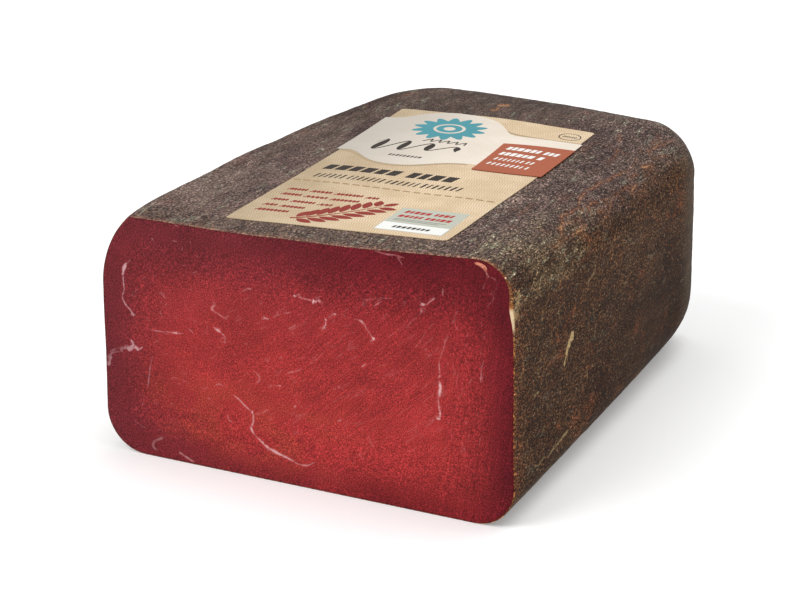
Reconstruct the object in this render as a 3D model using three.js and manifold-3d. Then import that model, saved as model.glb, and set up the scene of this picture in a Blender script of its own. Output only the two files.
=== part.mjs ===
// Air-dried beef: half of a pressed, rounded block with one cut face and a printed paper label on top.
// Millimetres, +Z up. The cut face looks along -Y, the rounded end lies at +Y, and the block rests on z = 0.

import * as THREE from 'three';
import { mergeVertices } from 'three/addons/utils/BufferGeometryUtils.js';
import Module from 'manifold-3d';

// Block sizes
const HALF_WIDTH = 57;
const HEIGHT = 65.1;
const LENGTH = 151;
const END_ROUNDING = { depth: 28, inset: 5.5, bulge: 1.8 };

// Each value of the section goes from cut to end, with middle added halfway along
const LEFT_REACH = { cut: 57.2, end: 54.2, middle: 5.1 };
const RIGHT_REACH = { cut: 56.3, end: 52.6, middle: 0.4 };
const TOP_REACH = { cut: HEIGHT, end: 69.2, middle: -2.7 };
const TOP_TILT = { cut: 1.3, end: -2.8, middle: 0.5 };
const TOP_HOLLOW = { cut: 1.4, end: -2, middle: -2.2 };
const CORNER_RADII = {
  topRight: { cut: 10, end: 14.6, middle: 0 },
  topLeft: { cut: 25, end: 24, middle: -6 },
  bottomLeft: { cut: 11.4, end: 11.9, middle: 0 },
  bottomRight: { cut: 10.2, end: 16.4, middle: 0 },
};
const SIDE_LEAN = { left: 0.017, right: 0.027 };

// The top left corner's round stops this many degrees short of the top, which leaves a ridge along the block
const RIDGE_ANGLE = { cut: 41, end: 0, middle: 14 };

// Unevenness left by pressing and drying: its height, its waves' lengths, and where it starts above the base
const RELIEF = {
  height: 0.1,
  broad: { x: 46, y: 57, start: 1.1 },
  slanting: { x: 33, y: 40, start: 2, share: 0.7 },
  steep: { z: 32, y: 48, share: 0.6 },
  from: 3,
  full: 14,
};
const CUT_HOLLOW = 0.5;

// How finely the block is divided
const ARC_STEPS = 8;
const FLAT_STEPS = { top: 16, side: 8, bottom: 10 };
const STATIONS = 26;
const END_STATIONS = 7;
const CAP_RINGS = [0.25, 0.5, 0.75];

// Label sizes, with its own origin at the corner nearest the cut face on the left
const LABEL = { width: 59.4, length: 105.9, corner: 1.1, turn: 0.037, centre: [1.86, 63.17] };
const SHEET_MARGIN = 4;
const SHEET_STEP = 4.2;
const LAYERS = {
  base: { gap: 0.3, thickness: 0.2 },
  banner: { gap: 0.6, thickness: 0.2 },
  tag: { gap: 0.9, thickness: 0.2 },
};
const BANNER = { left: -0.8, right: 60.2, low: 62.3, high: 92.5 };
const BOWL = { left: 4, right: 39, low: 54.4, high: 105.9, foot: 5 };
const TAG = { left: 41.8, right: 60.6, low: 57.5, high: 84.5 };

const MATERIALS = {
  beef: new THREE.MeshStandardMaterial({ color: 0x6b2a2c, roughness: 0.7, metalness: 0 }),
  kraft: new THREE.MeshStandardMaterial({ color: 0xe2d0ae, roughness: 0.8, metalness: 0 }),
  banner: new THREE.MeshStandardMaterial({ color: 0xe4dfd9, roughness: 0.7, metalness: 0 }),
  tag: new THREE.MeshStandardMaterial({ color: 0xb85e48, roughness: 0.7, metalness: 0 }),
};

const wasm = await Module();
wasm.setup();

const { degToRad, lerp, smoothstep } = THREE.MathUtils;

function lengthwise(value, y) {
  const t = y / LENGTH;
  return lerp(value.cut, value.end, t) + value.middle * 4 * t * (1 - t);
}

// The section's bounds and corner radii at y, drawn in by inset where the end rounds off
function sectionAt(y, inset = 0) {
  const radius = (value) => lengthwise(value, y) - inset / 2;
  const left = inset - lengthwise(LEFT_REACH, y);
  const high = lengthwise(TOP_REACH, y) - inset;
  const topLeft = radius(CORNER_RADII.topLeft);
  const ridge = lengthwise(RIDGE_ANGLE, y);
  return {
    left,
    right: lengthwise(RIGHT_REACH, y) - inset,
    low: inset,
    high,
    topRight: radius(CORNER_RADII.topRight),
    topLeft,
    bottomLeft: radius(CORNER_RADII.bottomLeft),
    bottomRight: radius(CORNER_RADII.bottomRight),
    ridge,
    ridgeX: left + topLeft * (1 - Math.sin(degToRad(ridge))),
    topLeftZ: high - topLeft * Math.cos(degToRad(ridge)),
    tilt: lengthwise(TOP_TILT, y),
    hollow: lengthwise(TOP_HOLLOW, y),
  };
}

function leanAt(x) {
  return x < 0 ? SIDE_LEAN.left : SIDE_LEAN.right;
}

// Pressing leaves the top tilted and hollow and the sides leaning in
function pressed(section, x, z) {
  const share = (z - section.low) / (section.high - section.low);
  const across = x / HALF_WIDTH;
  const lift = share * (section.tilt * across - section.hollow * (1 - across * across));
  return [x * (1 - leanAt(x) * (share - 0.5)), z + lift];
}

function relief(x, y, z) {
  const { broad, slanting, steep } = RELIEF;
  const phase = (distance, length) => 2 * Math.PI * distance / length;
  const waves = Math.sin(phase(x, broad.x) + broad.start) * Math.sin(phase(y, broad.y))
    + slanting.share * Math.sin(phase(x, slanting.x) + phase(y, slanting.y) + slanting.start)
    + steep.share * Math.sin(phase(z, steep.z) + phase(y, steep.y));
  return RELIEF.height * waves * smoothstep(z, RELIEF.from, RELIEF.full);
}

// A straight stretch of the outline, without its last point, which the next stretch starts with
function straight(from, to, normal, steps) {
  const stretch = [];
  for (let i = 0; i < steps; i += 1) {
    const k = i / steps;
    stretch.push({ x: lerp(from[0], to[0], k), z: lerp(from[1], to[1], k), normal });
  }
  return stretch;
}

// An arc of the outline between two angles in degrees, without its last point
function arc(cx, cz, radius, from, to) {
  const stretch = [];
  for (let i = 0; i < ARC_STEPS; i += 1) {
    const angle = degToRad(lerp(from, to, i / ARC_STEPS));
    const normal = [Math.cos(angle), Math.sin(angle)];
    stretch.push({ x: cx + radius * normal[0], z: cz + radius * normal[1], normal });
  }
  return stretch;
}

// One ring of points around the block, anticlockwise as seen from the cut face
function ringAt(y, inset = 0) {
  const s = sectionAt(y, inset);
  const outline = [
    ...arc(s.right - s.topRight, s.high - s.topRight, s.topRight, 0, 90),
    ...straight([s.right - s.topRight, s.high], [s.ridgeX, s.high], [0, 1], FLAT_STEPS.top),
    ...arc(s.left + s.topLeft, s.topLeftZ, s.topLeft, 90 + s.ridge, 180),
    ...straight([s.left, s.topLeftZ], [s.left, s.low + s.bottomLeft], [-1, 0], FLAT_STEPS.side),
    ...arc(s.left + s.bottomLeft, s.low + s.bottomLeft, s.bottomLeft, 180, 270),
    ...straight([s.left + s.bottomLeft, s.low], [s.right - s.bottomRight, s.low], [0, -1], FLAT_STEPS.bottom),
    ...arc(s.right - s.bottomRight, s.low + s.bottomRight, s.bottomRight, 270, 360),
    ...straight([s.right, s.low + s.bottomRight], [s.right, s.high - s.topRight], [1, 0], FLAT_STEPS.side),
  ];
  return outline.map((point) => {
    const [x, z] = pressed(s, point.x, point.z);
    const out = relief(x, y, z);
    return new THREE.Vector3(x + out * point.normal[0], y, z + out * point.normal[1]);
  });
}

// A ring drawn in towards its middle, with the cap's depth growing towards that middle
function capRing(ring, share, depth) {
  const middle = ringMiddle(ring);
  return ring.map((point) => {
    const inner = middle.clone().lerp(point, share);
    inner.y += depth * (1 - share * share);
    return inner;
  });
}

function ringMiddle(ring) {
  const sum = new THREE.Vector3();
  ring.forEach((point) => sum.add(point));
  return sum.divideScalar(ring.length);
}

// A closed skin over rings of equal length, with a fan of triangles at each end
function closedSkin(rings, startPoint, endPoint) {
  const count = rings[0].length;
  const positions = [startPoint, ...rings.flat(), endPoint].flatMap((p) => [p.x, p.y, p.z]);
  const last = rings.length * count + 1;
  const at = (ring, i) => 1 + ring * count + (i % count);
  const index = [];
  for (let i = 0; i < count; i += 1) {
    index.push(0, at(0, i), at(0, i + 1));
    for (let ring = 0; ring + 1 < rings.length; ring += 1) {
      index.push(at(ring, i), at(ring + 1, i + 1), at(ring, i + 1));
      index.push(at(ring, i), at(ring + 1, i), at(ring + 1, i + 1));
    }
    index.push(at(rings.length - 1, i), last, at(rings.length - 1, i + 1));
  }
  const geometry = new THREE.BufferGeometry();
  geometry.setAttribute('position', new THREE.Float32BufferAttribute(positions, 3));
  geometry.setIndex(index);
  geometry.computeVertexNormals();
  return geometry;
}

function beefGeometry() {
  const straightLength = LENGTH - END_ROUNDING.depth;
  const rings = [];
  for (let i = 0; i <= STATIONS; i += 1) {
    rings.push(ringAt(straightLength * i / STATIONS));
  }
  for (let i = 1; i <= END_STATIONS; i += 1) {
    const angle = i / END_STATIONS * Math.PI / 2;
    const y = straightLength + END_ROUNDING.depth * Math.sin(angle);
    rings.push(ringAt(y, END_ROUNDING.inset * (1 - Math.cos(angle))));
  }
  const cut = rings[0];
  const end = rings[rings.length - 1];
  const cutRings = CAP_RINGS.map((share) => capRing(cut, share, CUT_HOLLOW));
  const endRings = CAP_RINGS.map((share) => capRing(end, share, END_ROUNDING.bulge)).reverse();
  const cutMiddle = ringMiddle(cut).add(new THREE.Vector3(0, CUT_HOLLOW, 0));
  const endMiddle = ringMiddle(end).add(new THREE.Vector3(0, END_ROUNDING.bulge, 0));
  return closedSkin([...cutRings, ...rings, ...endRings], cutMiddle, endMiddle);
}

// The height of the block's top at x, y, rounded corners included
function topHeight(x, y) {
  const s = sectionAt(y);
  const plain = x / (1 - leanAt(x) / 2);
  const overRight = Math.max(0, plain - s.right + s.topRight);
  const overLeft = s.left + s.topLeft - plain;
  let high = s.high - s.topRight + Math.sqrt(s.topRight ** 2 - overRight ** 2);
  if (plain < s.ridgeX) {
    high = s.topLeftZ + Math.sqrt(s.topLeft ** 2 - overLeft ** 2);
  }
  const z = pressed(s, plain, high)[1];
  return z + relief(x, y, z);
}

// From the label's own plane to the block's frame
const labelFrame = new THREE.Matrix4()
  .makeTranslation(LABEL.centre[0], LABEL.centre[1], 0)
  .multiply(new THREE.Matrix4().makeRotationZ(LABEL.turn))
  .multiply(new THREE.Matrix4().makeTranslation(-LABEL.width / 2, -LABEL.length / 2, 0));

// A sheet that follows the top of the block, larger than the label all round
function drapedSheet({ gap, thickness }) {
  const columns = Math.ceil((LABEL.width + 2 * SHEET_MARGIN) / SHEET_STEP);
  const rows = Math.ceil((LABEL.length + 2 * SHEET_MARGIN) / SHEET_STEP);
  const box = new THREE.BoxGeometry(1, 1, 1, columns, rows, 1);
  box.deleteAttribute('normal');
  box.deleteAttribute('uv');
  const sheet = mergeVertices(box);
  const place = sheet.getAttribute('position');
  const point = new THREE.Vector3();
  for (let i = 0; i < place.count; i += 1) {
    point.fromBufferAttribute(place, i);
    const height = gap + (point.z + 0.5) * thickness;
    point.set(
      (point.x + 0.5) * (LABEL.width + 2 * SHEET_MARGIN) - SHEET_MARGIN,
      (point.y + 0.5) * (LABEL.length + 2 * SHEET_MARGIN) - SHEET_MARGIN,
      0,
    );
    point.applyMatrix4(labelFrame);
    place.setXYZ(i, point.x, point.y, topHeight(point.x, point.y) + height);
  }
  return sheet;
}

function asSolid(geometry) {
  const plain = geometry.clone();
  plain.deleteAttribute('normal');
  plain.deleteAttribute('uv');
  const merged = mergeVertices(plain);
  return new wasm.Manifold(new wasm.Mesh({
    numProp: 3,
    vertProperties: merged.getAttribute('position').array,
    triVerts: new Uint32Array(merged.getIndex().array),
  }));
}

function asGeometry(solid) {
  const mesh = solid.getMesh();
  const geometry = new THREE.BufferGeometry();
  geometry.setAttribute('position', new THREE.BufferAttribute(mesh.vertProperties, 3));
  geometry.setIndex(new THREE.BufferAttribute(mesh.triVerts, 1));
  geometry.computeVertexNormals();
  return geometry;
}

// A piece of label paper: the draped sheet inside an upright prism of the outline
function paperGeometry(outline, layer) {
  const prism = new THREE.ExtrudeGeometry(outline, {
    depth: 2 * HEIGHT,
    bevelEnabled: false,
    curveSegments: 8,
  });
  prism.applyMatrix4(labelFrame);
  return asGeometry(asSolid(drapedSheet(layer)).intersect(asSolid(prism)));
}

function baseOutline() {
  const { width, length, corner } = LABEL;
  const shape = new THREE.Shape();
  shape.moveTo(corner, 0);
  shape.lineTo(width - corner, 0);
  shape.quadraticCurveTo(width, 0, width, corner);
  shape.lineTo(width, length - corner);
  shape.quadraticCurveTo(width, length, width - corner, length);
  shape.lineTo(corner, length);
  shape.quadraticCurveTo(0, length, 0, length - corner);
  shape.lineTo(0, corner);
  shape.quadraticCurveTo(0, 0, corner, 0);
  return shape;
}

// A band across the label with a bowl-shaped swelling above and below
function bannerOutline() {
  const { left, right, low, high } = BANNER;
  const middle = (BOWL.left + BOWL.right) / 2;
  const leftFoot = BOWL.left + BOWL.foot;
  const rightFoot = BOWL.right - BOWL.foot;
  const footEnd = BOWL.right + BOWL.foot;
  const shape = new THREE.Shape();
  shape.moveTo(left, low);
  shape.bezierCurveTo(leftFoot, low, leftFoot, BOWL.low, middle, BOWL.low);
  shape.bezierCurveTo(rightFoot, BOWL.low, rightFoot, low, footEnd, low);
  shape.lineTo(right, low);
  shape.lineTo(right, high);
  shape.lineTo(footEnd, high);
  shape.bezierCurveTo(rightFoot, high, rightFoot, BOWL.high, middle, BOWL.high);
  shape.bezierCurveTo(leftFoot, BOWL.high, leftFoot, high, left, high);
  shape.lineTo(left, low);
  return shape;
}

function tagOutline() {
  const { left, right, low, high } = TAG;
  const shape = new THREE.Shape();
  shape.moveTo(left, low);
  shape.lineTo(right, low);
  shape.lineTo(right, high);
  shape.lineTo(left, high);
  shape.lineTo(left, low);
  return shape;
}

const block = new THREE.Group();

function addPiece(name, geometry, material) {
  const mesh = new THREE.Mesh(geometry, material);
  mesh.name = name;
  block.add(mesh);
}

addPiece('beef', beefGeometry(), MATERIALS.beef);
addPiece('label_base', paperGeometry(baseOutline(), LAYERS.base), MATERIALS.kraft);
addPiece('label_banner', paperGeometry(bannerOutline(), LAYERS.banner), MATERIALS.banner);
addPiece('label_tag', paperGeometry(tagOutline(), LAYERS.tag), MATERIALS.tag);

// The origin goes to the middle of the whole part's footprint
const bounds = new THREE.Box3().setFromObject(block);
block.position.set(-(bounds.min.x + bounds.max.x) / 2, -(bounds.min.y + bounds.max.y) / 2, -bounds.min.z);

const part = new THREE.Group();
part.add(block);

export default part;
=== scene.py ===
import math
import random
from functools import cached_property

import bpy
from mathutils import Matrix, Vector, noise
from mathutils.bvhtree import BVHTree
from mathutils.geometry import delaunay_2d_cdt
from mathutils.kdtree import KDTree


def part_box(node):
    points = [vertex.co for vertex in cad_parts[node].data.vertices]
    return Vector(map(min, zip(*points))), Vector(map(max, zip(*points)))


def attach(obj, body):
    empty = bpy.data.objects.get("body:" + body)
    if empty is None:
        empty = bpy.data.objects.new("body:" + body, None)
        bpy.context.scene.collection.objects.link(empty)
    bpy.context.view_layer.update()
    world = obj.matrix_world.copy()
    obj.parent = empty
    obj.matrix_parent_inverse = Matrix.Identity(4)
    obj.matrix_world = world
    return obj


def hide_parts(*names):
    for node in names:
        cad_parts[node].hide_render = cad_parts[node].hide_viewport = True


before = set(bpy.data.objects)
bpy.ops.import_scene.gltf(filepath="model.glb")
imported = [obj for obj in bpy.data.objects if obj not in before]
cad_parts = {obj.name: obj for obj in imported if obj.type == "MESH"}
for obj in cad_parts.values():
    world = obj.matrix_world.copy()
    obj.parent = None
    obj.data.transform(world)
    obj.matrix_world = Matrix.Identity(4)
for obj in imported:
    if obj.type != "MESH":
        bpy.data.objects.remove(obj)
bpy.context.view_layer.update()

# With a fixed seed, the strokes wander in the same way on every run
NOISE_SEED = 1
noise.seed_set(NOISE_SEED)

# Air-dried beef: a pressed half block with a cut face at the front, rind all round and a paper
# label on top. Sizes are in millimetres in the block's own frame: the middle of the cut face's foot
# is 0, 0, 0, x goes across, y back along the block and z up. Pieces go into the row frame, in
# metres, when they are made.
MM = 0.001

# The block, as in the part's source: each value at the cut, at the far end, and added halfway
HALF_WIDTH = 57.0
LENGTH = 151.0
END_DEPTH = 28.0
END_INSET = 5.5
END_BULGE = 1.8
CUT_HOLLOW = 0.5
HOLLOW_REACH = 30.0
LEFT_REACH = (57.2, 54.2, 5.1)
RIGHT_REACH = (56.3, 52.6, 0.4)
TOP_REACH = (65.1, 69.2, -2.7)
TOP_TILT = (1.3, -2.8, 0.5)
TOP_HOLLOW = (1.4, -2.0, -2.2)
TOP_RIGHT_RADIUS = (10.0, 14.6, 0.0)
TOP_LEFT_RADIUS = (25.0, 24.0, -6.0)
BOTTOM_LEFT_RADIUS = (11.4, 11.9, 0.0)
BOTTOM_RIGHT_RADIUS = (10.2, 16.4, 0.0)
LEFT_LEAN = 0.017
RIGHT_LEAN = 0.027
WAVE_HEIGHT = 0.1
WAVES_FROM = 3.0
WAVES_FULL = 14.0

# The top left corner's round stops this many degrees short of the top, which leaves a ridge
RIDGE_ANGLE = (41.0, 0.0, 14.0)

# How finely the rind is divided
TOP_ARC_STEPS = 40
FOOT_ARC_STEPS = 12
TOP_STEPS = 150
RIGHT_STEPS = 84
LEFT_STEPS = 50
BOTTOM_STEPS = 24
STATIONS = 196
END_STATIONS = 22
END_RINGS = 14

# The cut face sits in a shallow recess, so the rind shows round it as a thin rim, which is wider
# below the right corner. The rim's rings run from the meat outwards: how far back each lies, and
# its share of the way in from the block's outside.
RIM_WIDTH = 0.2
RIM_SWELL = {"width": 0.9, "across": (30, 45), "height": 55.8, "reach": 4.2}
RECESS_DEPTH = 0.7
RIM_RINGS = ((RECESS_DEPTH, 1.0), (0.06, 1.0), (0.0, 0.75), (0.03, 0.35))
FIRST_STATION = 0.3
CUT_OVERLAP = 0.05
CUT_FRONT = 0.05
CUT_STEP = 0.42
ROW_SHARE = 0.866
GRID_SIDE = 1.05
GRID_TOP = 1.1
CUT_ROUGHNESS = ((2.4, 0.05), (0.9, 0.03))
ROUGH_FROM_EDGE = (0.5, 2.0)

# The rind's fine relief: size of the grain across and along, and its height. It rises from the
# underside and is lower by the cut, and under the label the rind is pressed in a little instead.
RIND_RELIEF = (
    {"across": 8.0, "along": 18.0, "height": 0.12},
    {"across": 2.6, "along": 7.0, "height": 0.09},
    {"across": 1.3, "along": 3.4, "height": 0.06},
)
RELIEF_UPWARDS = (0.5, 6.0)
RELIEF_BACKWARDS = (0.0, 8.0)
RELIEF_AT_CUT = 0.35
LABEL_PRESS = 0.06

# The label, in its own plane: u across from its left edge, v back from its front edge. The rind is
# pressed in under it and, less and less, over the seat's edge; TOP_FROM is a height below the top.
LABEL_WIDTH = 59.4
LABEL_LENGTH = 105.9
LABEL_CORNER = 1.1
LABEL_CENTRE = (1.86, 63.17)
LABEL_TURN = 0.037
PAPER = 0.16
INK = 0.02
BASE_HEIGHT = 0.03
SEAT_EDGE = (0.3, 3.0)
TOP_FROM = 57.0

# The camera, as fitted to the photograph's 800 by 600 frame
CAMERA_AZIMUTH = 26.652
CAMERA_ELEVATION = 18.441
CAMERA_DISTANCE = 450.0
CAMERA_TARGET = (26.378, 1.238, 52.401)
FOCAL_PIXELS = 1927.3
PHOTO_WIDTH = 800
PHOTO_HEIGHT = 600
SENSOR_WIDTH = 36.0

# The lights, in metres and watts, and the floor's half width in metres
LIGHTS = {"Key": ((-1.3, -2.1, 2.4), 52.0), "Top": ((0.5, 0.6, 2.6), 26.0)}
LIGHT_SIZE = 1.8
LIGHT_TARGET = Vector((0.0, 0.0, 0.03))
WORLD_STRENGTH = 0.55
FLOOR_REACH = 6.0


def lengthwise(value, y):
    cut, end, middle = value
    t = y / LENGTH
    return cut + (end - cut) * t + middle * 4 * t * (1 - t)


def smoothstep(value, low, high):
    t = min(1.0, max(0.0, (value - low) / (high - low)))
    return t * t * (3 - 2 * t)


# The block's shape


class Section:
    """The rounded outline of the block at one place along it, drawn in by inset."""

    def __init__(self, y, inset=0.0):
        self.left = inset - lengthwise(LEFT_REACH, y)
        self.right = lengthwise(RIGHT_REACH, y) - inset
        self.low = inset
        self.high = lengthwise(TOP_REACH, y) - inset
        self.top_right = lengthwise(TOP_RIGHT_RADIUS, y) - inset / 2
        self.top_left = lengthwise(TOP_LEFT_RADIUS, y) - inset / 2
        self.bottom_left = lengthwise(BOTTOM_LEFT_RADIUS, y) - inset / 2
        self.bottom_right = lengthwise(BOTTOM_RIGHT_RADIUS, y) - inset / 2
        self.tilt = lengthwise(TOP_TILT, y)
        self.hollow = lengthwise(TOP_HOLLOW, y)
        self.ridge = lengthwise(RIDGE_ANGLE, y)
        self.ridge_x = self.left + self.top_left * (1 - math.sin(math.radians(self.ridge)))
        self.top_left_z = self.high - self.top_left * math.cos(math.radians(self.ridge))

    def pressed(self, x, z):
        share = (z - self.low) / (self.high - self.low)
        across = x / HALF_WIDTH
        lift = share * (self.tilt * across - self.hollow * (1 - across * across))
        return x * (1 - lean_at(x) * (share - 0.5)), z + lift

    def outline(self):
        """Points with their outward directions, anticlockwise as seen from the cut face."""
        top_right = (self.right - self.top_right, self.high - self.top_right)
        top_left = (self.left + self.top_left, self.top_left_z)
        foot_left = (self.left + self.bottom_left, self.low + self.bottom_left)
        foot_right = (self.right - self.bottom_right, self.low + self.bottom_right)
        points = arc(top_right, self.top_right, 0, 90, TOP_ARC_STEPS)
        points += straight((top_right[0], self.high), (self.ridge_x, self.high), (0, 1), TOP_STEPS)
        points += arc(top_left, self.top_left, 90 + self.ridge, 180, TOP_ARC_STEPS)
        points += straight((self.left, top_left[1]), (self.left, foot_left[1]), (-1, 0), LEFT_STEPS)
        points += arc(foot_left, self.bottom_left, 180, 270, FOOT_ARC_STEPS)
        points += straight((foot_left[0], self.low), (foot_right[0], self.low), (0, -1), BOTTOM_STEPS)
        points += arc(foot_right, self.bottom_right, 270, 360, FOOT_ARC_STEPS)
        points += straight((self.right, foot_right[1]), (self.right, top_right[1]), (1, 0), RIGHT_STEPS)
        return [(self.pressed(x, z), out) for x, z, out in points]


def lean_at(x):
    return LEFT_LEAN if x < 0 else RIGHT_LEAN


def arc(centre, radius, start, end, steps):
    """An arc between two angles in degrees, without its last point."""
    points = []
    for step in range(steps):
        angle = math.radians(start + (end - start) * step / steps)
        out = (math.cos(angle), math.sin(angle))
        points.append((centre[0] + radius * out[0], centre[1] + radius * out[1], out))
    return points


def straight(start, end, out, steps):
    points = []
    for step in range(steps):
        k = step / steps
        points.append((start[0] + (end[0] - start[0]) * k, start[1] + (end[1] - start[1]) * k, out))
    return points


def waves(x, y, z):
    """The slow unevenness that the part's source has too."""
    turn = 2 * math.pi
    height = math.sin(turn * x / 46 + 1.1) * math.sin(turn * y / 57)
    height += 0.7 * math.sin(turn * (x / 33 + y / 40) + 2)
    height += 0.6 * math.sin(turn * (z / 32 + y / 48))
    return WAVE_HEIGHT * height * smoothstep(z, WAVES_FROM, WAVES_FULL)


def top_height(x, y):
    """The height of the block's top, without the rind's fine relief."""
    section = Section(y)
    plain = x / (1 - lean_at(x) / 2)
    over_right = max(0.0, plain - section.right + section.top_right)
    over_left = section.left + section.top_left - plain
    high = section.high - section.top_right + math.sqrt(section.top_right ** 2 - over_right ** 2)
    if plain < section.ridge_x:
        high = section.top_left_z + math.sqrt(section.top_left ** 2 - over_left ** 2)
    z = section.pressed(plain, high)[1]
    return z + waves(x, y, z)


LABEL_COS = math.cos(LABEL_TURN)
LABEL_SIN = math.sin(LABEL_TURN)


def label_to_block(u, v):
    du = u - LABEL_WIDTH / 2
    dv = v - LABEL_LENGTH / 2
    x = LABEL_CENTRE[0] + du * LABEL_COS - dv * LABEL_SIN
    return x, LABEL_CENTRE[1] + du * LABEL_SIN + dv * LABEL_COS


def block_to_label(x, y):
    dx = x - LABEL_CENTRE[0]
    dy = y - LABEL_CENTRE[1]
    u = dx * LABEL_COS + dy * LABEL_SIN + LABEL_WIDTH / 2
    return u, dy * LABEL_COS - dx * LABEL_SIN + LABEL_LENGTH / 2


def under_label(x, y, z):
    """1 where the label lies on the rind, falling to 0 a little outside it."""
    if z < TOP_FROM:
        return 0.0
    u, v = block_to_label(x, y)
    outside = max(-u, u - LABEL_WIDTH, -v, v - LABEL_LENGTH)
    return 1 - smoothstep(outside, *SEAT_EDGE)


def rind_relief(x, y, z):
    height = 0.0
    for grain in RIND_RELIEF:
        across = grain["across"]
        spot = Vector((x / across, y / grain["along"], z / across))
        height += grain["height"] * noise.noise(spot)
    height *= smoothstep(z, *RELIEF_UPWARDS)
    height *= RELIEF_AT_CUT + (1 - RELIEF_AT_CUT) * smoothstep(y, *RELIEF_BACKWARDS)
    seat = under_label(x, y, z)
    return height * (1 - seat) - LABEL_PRESS * seat


def block_ring(y, inset=0.0, tip=0.0, rough=True):
    """One ring of points round the block; tip is how far the end's rounding has turned, in radians."""
    ring = []
    for (x, z), (out_x, out_z) in Section(y, inset).outline():
        lift = waves(x, y, z)
        if rough:
            lift += rind_relief(x, y, z)
        flat = math.cos(tip)
        ring.append(Vector((x + lift * out_x * flat, y + lift * math.sin(tip), z + lift * out_z * flat)))
    return ring


def middle_of(ring):
    return sum(ring, Vector()) / len(ring)


def drawn_in(ring, share, depth):
    """The ring drawn in towards its middle, with its depth growing towards that middle."""
    middle = middle_of(ring)
    inner = []
    for point in ring:
        spot = middle.lerp(point, share)
        spot.y += depth * (1 - share * share)
        inner.append(spot)
    return inner


def rim_width(x, z):
    away = (z - RIM_SWELL["height"]) / RIM_SWELL["reach"]
    swell = smoothstep(x, *RIM_SWELL["across"]) * math.exp(-away ** 2)
    return RIM_WIDTH + RIM_SWELL["width"] * swell


def rim_ring(y, share, extra=0.0):
    """A ring of the rim round the cut face; share is 0 at the outside and 1 where the meat begins."""
    full_inset = RIM_WIDTH + RIM_SWELL["width"] + CUT_OVERLAP
    outer = block_ring(0.0)
    inner = block_ring(0.0, full_inset)
    ring = []
    for outside, inside in zip(outer, inner):
        width = share * rim_width(outside.x, outside.z) + extra
        spot = outside.lerp(inside, width / full_inset)
        spot.y = y
        ring.append(spot)
    return ring


def rind_rings():
    straight_length = LENGTH - END_DEPTH
    rings = [rim_ring(y, share) for y, share in RIM_RINGS]
    for i in range(STATIONS + 1):
        rings.append(block_ring(FIRST_STATION + (straight_length - FIRST_STATION) * i / STATIONS))
    for i in range(1, END_STATIONS + 1):
        tip = i / END_STATIONS * math.pi / 2
        y = straight_length + END_DEPTH * math.sin(tip)
        rings.append(block_ring(y, END_INSET * (1 - math.cos(tip)), tip))
    end_ring = rings[-1]
    for i in range(END_RINGS):
        rings.append(drawn_in(end_ring, 1 - (i + 1) / (END_RINGS + 1), END_BULGE))
    return rings


def block_shift(stations=40):
    """Where the block's own origin lies in the row frame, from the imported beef's box."""
    reach = []
    for i in range(stations):
        ring = block_ring((LENGTH - END_DEPTH) * i / (stations - 1), rough=False)
        reach += [point.x for point in ring]
    low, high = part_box("beef")
    across = (low.x + high.x) / 2 / MM - (min(reach) + max(reach)) / 2
    return Vector((across, low.y / MM, 0.0))


SHIFT = block_shift()


def placed(point):
    return (Vector(point) + SHIFT) * MM


def linked(name, data):
    """A new object in the scene with the data given."""
    thing = bpy.data.objects.new(name, data)
    bpy.context.collection.objects.link(thing)
    return thing


def new_piece(name, points, faces, material, smooth=True):
    """A mesh object at the origin with its place, in the row frame, in its mesh."""
    mesh = bpy.data.meshes.new(name)
    mesh.from_pydata([placed(point) for point in points], [], faces)
    mesh.materials.append(material)
    mesh.polygons.foreach_set("use_smooth", [smooth] * len(mesh.polygons))
    mesh.update()
    return linked(name, mesh)


def finish_piece(piece, slot, *nodes):
    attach(piece, "root")
    if nodes:
        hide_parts(*nodes)


# Camera, lights and floor


def camera_axes():
    azimuth = math.radians(CAMERA_AZIMUTH)
    elevation = math.radians(CAMERA_ELEVATION)
    back = Vector((
        math.sin(azimuth) * math.cos(elevation),
        -math.cos(azimuth) * math.cos(elevation),
        math.sin(elevation),
    ))
    right = Vector((math.cos(azimuth), math.sin(azimuth), 0.0))
    return right, back.cross(right), back


def camera_place():
    return Vector(CAMERA_TARGET) + camera_axes()[2] * CAMERA_DISTANCE


def add_camera():
    right, up, back = camera_axes()
    camera = linked("Camera", bpy.data.cameras.new("Camera"))
    camera.data.sensor_width = SENSOR_WIDTH
    camera.data.lens = FOCAL_PIXELS * SENSOR_WIDTH / PHOTO_WIDTH
    camera.data.clip_start = 0.01
    place = Matrix((right, up, back)).transposed().to_4x4()
    place.translation = placed(camera_place())
    camera.matrix_world = place
    bpy.context.scene.camera = camera


def add_area_light(name, place, power):
    light = linked(name, bpy.data.lights.new(name, "AREA"))
    light.data.size = LIGHT_SIZE
    light.data.energy = power
    light.location = place
    aim = LIGHT_TARGET - Vector(place)
    light.rotation_euler = aim.to_track_quat("-Z", "Y").to_euler()


def add_studio():
    world = bpy.data.worlds.new("Studio")
    world.use_nodes = True
    background = world.node_tree.nodes["Background"]
    background.inputs["Color"].default_value = (1, 1, 1, 1)
    background.inputs["Strength"].default_value = WORLD_STRENGTH
    scene = bpy.context.scene
    scene.world = world
    scene.view_settings.view_transform = "Standard"
    for name, (place, power) in LIGHTS.items():
        add_area_light(name, place, power)


def add_floor():
    mesh = bpy.data.meshes.new("floor")
    ways = ((-1, -1), (1, -1), (1, 1), (-1, 1))
    mesh.from_pydata([(x * FLOOR_REACH, y * FLOOR_REACH, 0) for x, y in ways], [], [(0, 1, 2, 3)])
    paint = Finish("floor", Roughness=0.9, Emission_Strength=0.2)
    paint.surface.inputs["Base Color"].default_value = (0.95, 0.95, 0.95, 1)
    paint.surface.inputs["Emission Color"].default_value = (1, 1, 1, 1)
    mesh.materials.append(paint.material)
    linked("floor", mesh)


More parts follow.
